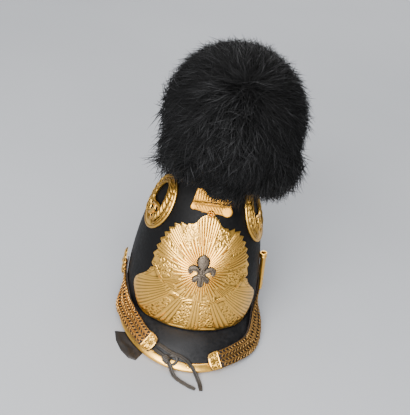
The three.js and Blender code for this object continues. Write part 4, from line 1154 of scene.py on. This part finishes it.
def laurel_leaf():
    """Pointed leaf with a grooved midrib, lying along X."""
    along = np.linspace(0, 1, 11)[:, None]
    across, up, dark = LEAF_SECTION.T
    half = 0.5 * LAUREL["width"] * np.sin(np.pi * along ** 0.85) ** 0.8
    rise = LAUREL["edge"] + LAUREL["rise"] * np.sin(np.pi * along) ** 0.6
    rings = joined((along - LAUREL["root"]) * LAUREL["length"], half * across,
                   rise * up + LAUREL["lean"] * along)
    # Painted shade at the leaf's edges, along its midrib and underneath
    marks = np.broadcast_to(dark, rings.shape[:2])
    return small_shape("laurel_leaf", [shell(rings)], hollow=marks)


def wreath_leaves(name, side, leaf):
    """Leaves in rows that climb each half of the wreath from its bare foot to its top."""
    places, facing, run = [], [], []
    bare, count = LAUREL["bare_foot"], LAUREL["leaves"]
    for hand in (-1, 1):
        for row, (share, lean) in enumerate(LAUREL_ROWS):
            climbed = (np.arange(count) + LAUREL["first"] + LAUREL["row_step"] * row) / count
            turn = np.pi - hand * (bare + (np.pi - bare) * climbed)
            spot = in_band(turn, share)
            ahead = unit(in_band(turn - 0.02 * hand, share) - spot)
            tip = spot + ahead - lean * unit(in_band(turn, 1.0) - in_band(turn, 0.0))
            level = np.full(count, WREATH["lift"] + LAUREL["lift"] - LAUREL["row_drop"] * row)
            here = on_side(side, spot, level)
            there = on_side(side, tip, level)
            angle = side * (np.radians(WREATH["angle"]) + spot[:, 0] / WREATH["skull_radius"])
            places.append(here)
            run.append(there - here)
            facing.append(skull_normal(angle, WREATH["height"] + spot[:, 1]))
    return set_pieces(name, leaf, np.vstack(places), np.vstack(facing), np.vstack(run), gilt_brass)


leaf_shape = laurel_leaf()
for label, side in (("left", -1), ("right", 1)):
    fit(wreath_frame(f"wreath_frame_{label}", side), "gilt_brass", f"side_wreath_{label}")
    fit(wreath_leaves(f"wreath_leaves_{label}", side, leaf_shape), "gilt_brass")
bpy.data.objects.remove(leaf_shape)


# Chin straps: dark leather bands from the bosses along the sides and the peak. Gilt curb mail covers
# them, its oval links sewn down in rows, and each ends in a stamped gilt tip with a round end.
STRAP_ROWS = {
    # surface, angle from the front, then height on the skull or reach on the peak
    "left": [
        ("skull", 96, 46), ("skull", 91, 38.5), ("skull", 86, 31), ("peak", 84, 0.52), ("peak", 72, 0.52),
        ("peak", 58, 0.55), ("peak", 45, 0.64), ("peak", 30, 0.72)],
    "right": [
        ("skull", 96, 46), ("skull", 91, 38.5), ("skull", 86, 31), ("peak", 84, 0.55), ("peak", 74, 0.73),
        ("peak", 64, 0.86), ("peak", 54, 0.86), ("peak", 43, 0.81), ("peak", 31, 0.8), ("peak", 16, 0.84)],
}
STRAP = {"root": 30.0, "end": 23.0, "leather": 1.6, "lift_on_skull": 0.8, "lift_on_peak": 2.1,
         "edge": 0.3, "rounded_from": 0.97, "rounding": 0.032}
MAIL = {"pitch": 5.7, "across": 5.5, "long": 3.9, "wide": 3.3, "wire": 0.84, "roll": 20, "slant": 30,
        "start": 0.04, "end_gap": 0.6, "slip": 0.25, "lift": 1.4, "roll_play": 6, "slant_play": 9}
TIP = {"length": 17.0, "metal": 1.6, "overhang": 1.0, "lift": 0.3, "border": 1.6, "line": 0.8,
       "border_rise": 0.9, "scroll_rise": 0.75}
TIP_CURLS = {"along": (-3.4, 4.0), "aside": 5.2, "size": 4.0, "turns": 1.7, "start": 1.2, "closing": 0.72}
strap_hide = leather("strap_hide", (0.010, 0.006, 0.004), (0.034, 0.018, 0.010), (0.5, 0.7), 800.0, 0.35)
# The right strap's mail takes a darker copy of the gilt: painted shade on the side away from the lights
MAIL_FINISH = {
    "left": gilt("mail_gilt", (0.58, 0.30, 0.075), (0.10, 0.042, 0.010), (0.34, 0.5)),
    "right": gilt("shaded_mail_gilt", (0.27, 0.15, 0.045), (0.04, 0.02, 0.006), (0.4, 0.55)),
}


def strap_route(rows, hand):
    """Length of a strap's middle line, and a function for its points and directions at shares of it."""
    points, normals = [], []
    for surface, degrees, place in rows:
        angle = -np.radians(degrees)
        if surface == "skull":
            normal = skull_normal(angle, place)
            points.append(on_skull(angle, place, STRAP["lift_on_skull"]))
        else:
            _, normal = peak_frame(angle, place)
            points.append(peak_surface(angle, place) + normal * STRAP["lift_on_peak"])
        normals.append(normal)
    line = smooth_line(points, 40)
    facing = smooth_line(normals, 40)
    way = np.concatenate([[0], np.cumsum(np.linalg.norm(np.diff(line, axis=0), axis=1))])
    runs = np.gradient(line, axis=0)

    def at(share):
        spot, out, run = (np.stack([np.interp(share * way[-1], way, column) for column in table.T], axis=-1)
                          for table in (line, facing, runs))
        run = unit(run)
        across = unit(np.cross(out, run))
        out = unit(np.cross(run, across))
        mirror = np.array([hand, 1, 1])
        return spot * mirror, run * mirror, across * mirror, out * mirror

    return way[-1], at


def strap_width(share):
    return STRAP["root"] + (STRAP["end"] - STRAP["root"]) * share


def band_rings(at, shares, width, section):
    """Rings of a band: the section gives places across, in half widths, and heights over its underside."""
    spot, _, across, out = at(shares)
    side, up = np.array(section).T
    aside = np.broadcast_to(width, len(shares))[:, None] / 2 * side
    return spot[:, None] + across[:, None] * aside[..., None] + out[:, None] * up[:, None]


def strap_leather(label, at):
    thick, edge = STRAP["leather"], STRAP["edge"]
    under = [(-0.97, 0), (0.97, 0), (1, edge)]
    section = under + [(side, thick - up) for side, up in reversed(under)] + [(-1, thick - edge), (-1, edge)]
    shares = np.linspace(0, 1, 90)
    round_end = rounded(np.maximum(shares - STRAP["rounded_from"], 0) / STRAP["rounding"], 4)
    rings = band_rings(at, shares, strap_width(shares) * round_end, section)
    return make_piece(f"strap_leather_{label}", [shell(rings)], strap_hide)


def mail_link():
    """Oval ring of round wire, with painted shade on the inside of its eye and on its underside."""
    turn = circle(12)[:, None]
    section = circle(6)[None, :]
    long, wide, wire = MAIL["long"], MAIL["wide"], MAIL["wire"]
    rings = joined((long - wire + wire * np.cos(section)) * np.cos(turn),
                   (wide - wire + wire * np.cos(section)) * np.sin(turn), wire * np.sin(section))
    dark = np.clip(-0.6 * np.cos(section) - 0.8 * np.sin(section), 0, 1) + 0 * turn
    return small_shape("mail_link", [shell(rings, loop=True)], hollow=dark)


def strap_mail(label, length, at, link_shape):
    """Rows of links along the strap, slanted one way and the other by turns so that they lock."""
    chance = np.random.default_rng(5)
    last = 1 - TIP["length"] / length
    step = MAIL["pitch"] / length
    shares = np.arange(MAIL["start"], last - MAIL["end_gap"] * step, step)
    spot, run, across, out = at(shares)
    lift = STRAP["leather"] + MAIL["lift"]
    places, facing, runs = [], [], []
    for i, share in enumerate(shares):
        room = strap_width(share) - 2 * MAIL["wide"]
        count = int(round(room / MAIL["across"]))
        for j in range(count + 1):
            hand = 1 if j % 2 else -1
            aside = (j / count - 0.5) * room
            slip = MAIL["slip"] * MAIL["pitch"] * (1 + hand)
            roll = np.radians(MAIL["roll"] + MAIL["roll_play"] * chance.uniform(-1, 1)) * hand
            slant = np.radians(MAIL["slant"] + MAIL["slant_play"] * chance.uniform(-1, 1)) * hand
            places.append(spot[i] + across[i] * aside + out[i] * lift + run[i] * slip)
            facing.append(out[i] * np.cos(roll) + across[i] * np.sin(roll))
            runs.append(run[i] * np.cos(slant) + across[i] * np.sin(slant))
    finish = MAIL_FINISH[label]
    places, facing, runs = (np.array(rows) for rows in (places, facing, runs))
    return set_pieces(f"strap_mail_{label}", link_shape, places, facing, runs, finish)


def curl(centre, size, turns, start, hand):
    """Flat spiral from its outer end inwards."""
    turn = np.linspace(0, 2 * np.pi * turns, int(26 * turns))
    radius = size * (1 - TIP_CURLS["closing"] * turn / turn[-1])
    angle = start + hand * turn
    return np.array(centre) + radius[:, None] * joined(np.cos(angle), np.sin(angle))


def strap_tip(label, length, at):
    """Stamped plate with a rounded end: a raised border round a field of scrolls."""
    share = np.linspace(0, 1, 44)
    steps = 1 - TIP["length"] / length * (1 - share)
    width = (strap_width(steps) + TIP["overhang"]) * np.sqrt(1 - 0.995 * share ** 6)
    side = np.linspace(-1, 1, 45)
    along = (share[:, None] - 0.5) * TIP["length"]
    aside = 0.5 * width[:, None] * side
    to_sides = 0.5 * width[:, None] * (1 - np.abs(side))
    to_ends = TIP["length"] * np.minimum(share, 1 - share)[:, None]
    left = np.minimum(to_sides, to_ends)
    border = ridge(left - TIP["border"], TIP["line"])
    size, turns = TIP_CURLS["size"], TIP_CURLS["turns"]
    curls = np.vstack([curl((x, hand * TIP_CURLS["aside"]), size, turns, hand * TIP_CURLS["start"], hand)
                       for x in TIP_CURLS["along"] for hand in (-1, 1)])
    spots = joined(along, aside).reshape(-1, 2)
    scroll = ridge(distance_to(spots, curls).reshape(aside.shape), TIP["line"])
    relief = TIP["border_rise"] * border + TIP["scroll_rise"] * scroll * smooth_step(2.4, 3.4, left)
    spot, _, across, out = at(steps)
    floor = STRAP["leather"] + TIP["lift"]
    top = floor + TIP["metal"] - 0.6 + relief * smooth_step(0, 0.6, left + 0.2)
    flat = spot[:, None] + across[:, None] * aside[..., None]
    upper = flat + out[:, None] * top[..., None]
    lower = (flat + out[:, None] * floor)[:, ::-1]
    rings = np.concatenate([upper, lower], axis=1)
    # Painted shade in the hollows of the stamping, none underneath
    marks = np.concatenate([hollows(relief, 2, 0.3), 0 * relief], axis=1)
    return make_piece(f"stamped_tip_{label}", [shell(rings)], gilt_brass, hollow=marks)


link_shape = mail_link()
for label, hand in (("left", 1), ("right", -1)):
    length, at = strap_route(STRAP_ROWS[label], hand)
    fit(strap_leather(label, at), "black_leather", f"chin_strap_{label}")
    fit(strap_mail(label, length, at, link_shape), "gilt_brass", f"chin_chain_{label}")
    fit(strap_tip(label, length, at), "gilt_brass", f"strap_tip_{label}")
bpy.data.objects.remove(link_shape)


# Bosses and plume socket: gilt rosettes screwed over the straps' upper ends, and a turned brass tube with
# a collar, soldered upright to the skull just ahead of the right one, that takes the foot of a plume.
BOSS = {"angle": 95, "height": 44.0, "lift": 5.1, "radius": 20.0, "rise": 5.5, "petals": 12, "core": 0.26}
SOCKET = {"angle": 80, "foot": 48.0, "length": 64.0, "lift": 5.2}
SOCKET_PROFILE = [
    # radius, height
    (0, 0), (2.0, 0), (2.4, 0.6), (2.4, 18.4), (2.8, 20.4), (3.5, 23.2), (4.2, 54.8), (4.6, 55.6),
    (5.0, 56.6), (5.0, 59), (4.6, 59.9), (5.0, 60.8), (5.0, 63.3), (4.6, 64), (3.7, 64), (3.4, 63.5),
    (3.4, 27), (0, 26.8),
]


def brass_socket():
    angle = np.radians(SOCKET["angle"])
    foot, top = (on_skull(angle, SOCKET["foot"] + up, SOCKET["lift"]) for up in (0, SOCKET["length"]))
    placed = on_axis(foot, top - foot, (1, 0, 0), turned(SOCKET_PROFILE, 32))
    return make_piece("brass_socket", [shell(placed)], gilt_brass, sharp=30)


for label, side in (("left", -1), ("right", 1)):
    boss = brass_rosette(f"brass_boss_{label}", BOSS, side * np.radians(BOSS["angle"]), (0, 0, 1))
    fit(boss, "gilt_brass", f"boss_{label}")
fit(brass_socket(), "gilt_brass", "plume_socket")


# Lining tab: a tongue of soft dark leather from the lining, which lies creased on the ground and runs in
# under the peak's left edge.
TAB_CORNERS = [
    (-102, -93), (-99, -111), (-91, -129), (-80, -142), (-70, -145), (-60, -128), (-75, -104), (-86, -92),
]
TAB = {"rim": 0.4, "swell": 1.85, "crease": 0.45}
TAB_FOLDS = {"across": 0.42, "along": 0.2, "wander": 1.4, "wander_along": 0.16}
tab_leather = leather("tab_leather", (0.005, 0.004, 0.0035), (0.022, 0.015, 0.011), (0.5, 0.75), 600.0, 0.5)


def leather_tab():
    corners = np.array([*TAB_CORNERS, TAB_CORNERS[0]], float)
    steps = np.linspace(0, 1, 12, endpoint=False)
    sides = [a + (b - a) * t for a, b in zip(corners, corners[1:]) for t in steps]
    middle = np.mean(TAB_CORNERS, axis=0)
    share = np.linspace(0, 1, 20)[:, None, None]
    flat = middle + share * (np.array(sides) - middle)
    across, along = flat[..., 0], flat[..., 1]
    wander = TAB_FOLDS["wander"] * np.sin(TAB_FOLDS["wander_along"] * along)
    folds = np.sin(TAB_FOLDS["across"] * across + TAB_FOLDS["along"] * along + wander)
    crease = TAB["crease"] * folds * (1 - share[..., 0] ** 6)
    top = TAB["rim"] + TAB["swell"] * rounded(share[..., 0], 12) + crease
    upper = np.concatenate([flat, top[..., None]], axis=-1)
    lower = np.concatenate([flat, 0 * top[..., None]], axis=-1)[::-1]
    return make_piece("leather_tab", [shell(np.vstack([upper, lower]))], tab_leather)


fit(leather_tab(), "brown_leather", "lining_tab")


# Bearskin: a stuffed roll covered with long black bear fur, seated on the crest and falling behind to a
# tail. The hair streams from a whorl at the upper front, and lies in soft tufts. The roll sags to the right.
FUR_SECTIONS = np.array([
    # across, along, height, radius
    (10, -108, 305, 20), (10, -99, 307, 48), (12, -78, 313, 71), (13, -44, 317, 86), (13, -6, 316, 90),
    (13, 34, 301, 86), (9, 74, 268, 77), (4, 102, 222, 68), (0, 117, 178, 58), (0, 122, 140, 40),
    (0, 122, 116, 12),
], float)
FUR_LOBES = [
    # across, along, height, radius
    (53, -54, 284, 50), (-30, -54, 288, 50), (8, -67, 264, 40), (-56, 34, 208, 24),
]
FUR_TUFTS = [
    # across, along, height, reach, share by which the hair is longer there
    (-77, -10, 306, 24, 0.8), (-72, 25, 192, 16, 0.9), (64, -64, 238, 36, 0.9),
]
FUR_WHORL = (13, -62, 378)
FUR_DEPTH = 12.5
HIDE = {"voxel": 6, "smoothing": 6, "quarter_across": 10, "quarter_along": -4, "clear_of_skull": 4.0}
HAIR = {"length": 29.5, "width": 0.5, "density": 290000, "rise": 0.42, "bow": 1.9, "lengths": (0.7, 1.15),
        "underside": (-0.85, -0.05, 0.55)}
HAIR_STATIONS = np.array([
    # share of the length, share of the width
    (0.0, 1.0), (0.45, 0.8), (1.0, 0.02),
])
COMBING = {"tuft": 9.0, "sway": 4.0, "lean": 0.45, "stray": (0.6, 0.6, 0.6), "play": (0.5, 0.14, 0.25)}
HAIR_SEEDS = {"scatter": 5, "stray": 11, "play": 23, "length": 31, "shade": 41}
HAIR_SHADES = {"in_tuft": 2.2, "of_tuft": (0.36, 0.64, 0.1), "of_hair": (0.5, 1.0)}


def fur_skin():
    """The roll's hide, a hair's depth inside its outline."""
    line = smooth_line(FUR_SECTIONS[:, :3], 6)
    steps = np.arange(len(FUR_SECTIONS))
    radius = table_value(steps, FUR_SECTIONS[:, 3], np.linspace(0, steps[-1], len(line)))
    run = unit(np.gradient(line, axis=0))
    up = unit(np.cross((1, 0, 0), run))
    turn = circle(48)[None, :, None]
    size = np.maximum(radius - FUR_DEPTH, 1)[:, None, None]
    outward = np.sin(turn) * np.array([1, 0, 0]) + np.cos(turn) * up[:, None]
    shells = [shell(line[:, None] + size * outward)]
    for across, along, height, ball in FUR_LOBES:
        arc = np.linspace(0, np.pi, 17)
        profile = (ball - FUR_DEPTH) * joined(np.sin(arc), -np.cos(arc))
        shells.append(shell(turned(profile, 24) + (across, along, height)))
    rough = make_piece("rough_hide", shells, None)
    remesh = rough.modifiers.new("one_skin", "REMESH")
    remesh.voxel_size = HIDE["voxel"] * MM
    soften = rough.modifiers.new("soften", "SMOOTH")
    soften.iterations = HIDE["smoothing"]
    mesh = bpy.data.meshes.new_from_object(rough.evaluated_get(bpy.context.evaluated_depsgraph_get()))
    bpy.data.objects.remove(rough)
    mesh.name = "bearskin_hide"
    return link(bpy.data.objects.new("bearskin_hide", mesh))


def fur(name):
    """Black fur: dark at the root, each hair a little different, with a dull gloss."""
    material, tree, shader, _ = new_material(name)
    shade = surface_mark(tree, "shade")
    light = product(tree, surface_mark(tree, "along"), shade)
    give(tree, shader, {
        "Base Color": ramp(tree, light, (0.0, (0.001, 0.001, 0.0011)), (0.35, (0.006, 0.006, 0.0063)),
                           (1.0, (0.062, 0.062, 0.065))),
        "Roughness": spread(tree, shade, 0.9, 0.5),
        "Specular IOR Level": 0.16})
    return material


black_fur = fur("black_fur")


def mark_hide(hide):
    """Marks each face with its quarter, or -1 against the skull, and with how long its hair grows."""
    count = len(hide.data.polygons)
    middles = np.zeros(count * 3)
    hide.data.polygons.foreach_get("center", middles)
    middles = middles.reshape(-1, 3) / MM + FOOT_MIDDLE
    right, behind = middles[:, 0] > HIDE["quarter_across"], middles[:, 1] > HIDE["quarter_along"]
    quarter = right.astype(int) + 2 * behind
    angle = np.arctan2(middles[:, 0], -middles[:, 1])
    shell_radius = np.linalg.norm(skull_surface(angle, np.minimum(middles[:, 2], CROWN))[:, :2], axis=1)
    out = np.linalg.norm(middles[:, :2], axis=1)
    clear = HIDE["clear_of_skull"]
    quarter[(out < shell_radius + clear) & (middles[:, 2] < CROWN + clear)] = -1
    hide.data.attributes.new("quarter", "INT", "FACE").data.foreach_set("value", quarter.astype(np.int32))
    growth = np.ones(count)
    for across, along, height, reach, longer in FUR_TUFTS:
        away = np.linalg.norm(middles - (across, along, height), axis=1)
        growth += longer * ridge(away, reach)
    hide.data.attributes.new("growth", "FLOAT", "FACE").data.foreach_set("value", growth)


def hair_shape():
    """One tapered hair of three sides, lying along X and rising in a bow from the hide."""
    stations, taper = HAIR_STATIONS.T
    width = HAIR["width"] * taper
    rise = HAIR["rise"] * np.sin(HAIR["bow"] * stations)
    bow = HAIR["length"] * joined(stations, 0, rise)
    turn = circle(3)
    ring = joined(0, np.cos(turn), np.sin(turn))
    rings = bow[:, None] + width[:, None, None] * ring
    return small_shape("hair", [shell(rings)], sharp=180, along=np.repeat(stations, 3))


def fur_tree():
    """Node tree that scatters hairs on a quarter of the hide, combed away from the whorl in tufts."""
    tree, given = start_tree("grow_fur", {
        "Hair": "Object", "Finish": "Material", "Quarter": "Int", "Density": "Float", "Whorl": "Vector",
        "Tuft Size": "Float", "Seed": "Int"})

    def vectors(operation, first, second):
        return node(tree, "ShaderNodeVectorMath", {0: first, 1: second}, operation=operation).outputs[0]

    def scaled(vector, size):
        inputs = {0: vector, "Scale": size}
        return node(tree, "ShaderNodeVectorMath", inputs, operation="SCALE").outputs[0]

    def random_vector(reach, seed):
        inputs = {"Min": [-size for size in reach], "Max": reach, "Seed": seed}
        return node(tree, "FunctionNodeRandomValue", inputs, data_type="FLOAT_VECTOR").outputs["Value"]

    def random_number(low, high, seed):
        inputs = {2: low, 3: high, "Seed": seed}
        return node(tree, "FunctionNodeRandomValue", inputs, data_type="FLOAT").outputs[1]

    def patches(scale, detail):
        return node(tree, "ShaderNodeTexNoise", {"Vector": place, "Scale": scale, "Detail": detail}).outputs

    def up_to_one(value, low, high, least):
        inputs = {"Value": value, "From Min": low, "From Max": high, "To Min": least}
        return node(tree, "ShaderNodeMapRange", inputs).outputs["Result"]

    chosen = node(tree, "FunctionNodeCompare", {2: mark_value(tree, "quarter", "INT"), 3: given["Quarter"]},
                  data_type="INT", operation="EQUAL")
    scattered = node(tree, "GeometryNodeDistributePointsOnFaces", {
        "Mesh": given["Geometry"], "Selection": chosen.outputs["Result"], "Density": given["Density"],
        "Seed": given["Seed"]}).outputs
    place = node(tree, "GeometryNodeInputPosition").outputs["Position"]
    away = vectors("SUBTRACT", place, given["Whorl"])
    stream = node(tree, "ShaderNodeVectorMath", {0: away}, operation="NORMALIZE").outputs[0]
    scale = node(tree, "ShaderNodeMath", {0: 1.0, 1: given["Tuft Size"]}, operation="DIVIDE").outputs[0]
    sway = scaled(vectors("SUBTRACT", patches(scale, 2.0)["Color"], (0.5, 0.5, 0.5)), COMBING["sway"])
    strays = random_vector(COMBING["stray"], HAIR_SEEDS["stray"])
    combed = vectors("ADD", vectors("ADD", stream, sway), strays)
    facing = vectors("ADD", scattered["Normal"], scaled(sway, COMBING["lean"]))
    turn = node(tree, "FunctionNodeAxesToRotation", {"Primary Axis": facing, "Secondary Axis": combed},
                primary_axis="Z", secondary_axis="X")
    play = random_vector(COMBING["play"], HAIR_SEEDS["play"])
    play = node(tree, "FunctionNodeEulerToRotation", {"Euler": play})
    loose = node(tree, "FunctionNodeRotateRotation", {
        "Rotation": turn.outputs["Rotation"], "Rotate By": play.outputs["Rotation"]}, rotation_space="LOCAL")
    # Hair is short where the hide faces down
    upward = node(tree, "ShaderNodeSeparateXYZ", {0: scattered["Normal"]}).outputs["Z"]
    longest = product(tree, up_to_one(upward, *HAIR["underside"]), mark_value(tree, "growth", "FLOAT"))
    shape = node(tree, "GeometryNodeObjectInfo", {"Object": given["Hair"]})
    placed = node(tree, "GeometryNodeInstanceOnPoints", {
        "Points": scattered["Points"], "Instance": shape.outputs["Geometry"],
        "Rotation": loose.outputs["Rotation"],
        "Scale": product(tree, random_number(*HAIR["lengths"], HAIR_SEEDS["length"]), longest)})
    # Some tufts are darker than others, and each hair differs a little from its tuft
    fine = patches(product(tree, scale, HAIR_SHADES["in_tuft"]), 1.0)["Fac"]
    tuft_shade = up_to_one(fine, *HAIR_SHADES["of_tuft"])
    shade = product(tree, tuft_shade, random_number(*HAIR_SHADES["of_hair"], HAIR_SEEDS["shade"]))
    inputs = {"Geometry": placed.outputs["Instances"], "Name": "shade", "Value": shade}
    shaded = node(tree, "GeometryNodeStoreNamedAttribute", inputs, data_type="FLOAT", domain="INSTANCE")
    end_tree(tree, shaded.outputs["Geometry"], given["Finish"])
    return tree


hide = fur_skin()
mark_hide(hide)
grow_fur = fur_tree()
hair = hair_shape()
for number, label in enumerate(("front_left", "front_right", "back_left", "back_right")):
    settings = {
        "Hair": hair, "Finish": black_fur, "Quarter": number, "Density": float(HAIR["density"]),
        "Whorl": in_frame(FUR_WHORL).tolist(), "Tuft Size": COMBING["tuft"] * MM,
        "Seed": HAIR_SEEDS["scatter"] + number}
    fit(bake_nodes(f"bearskin_hair_{label}", hide, grow_fur, settings), "black_fur")
bpy.data.objects.remove(hair)
hide.data.materials.append(black_fur)
hide.data.shade_smooth()
fit(hide, "black_fur", "bearskin")
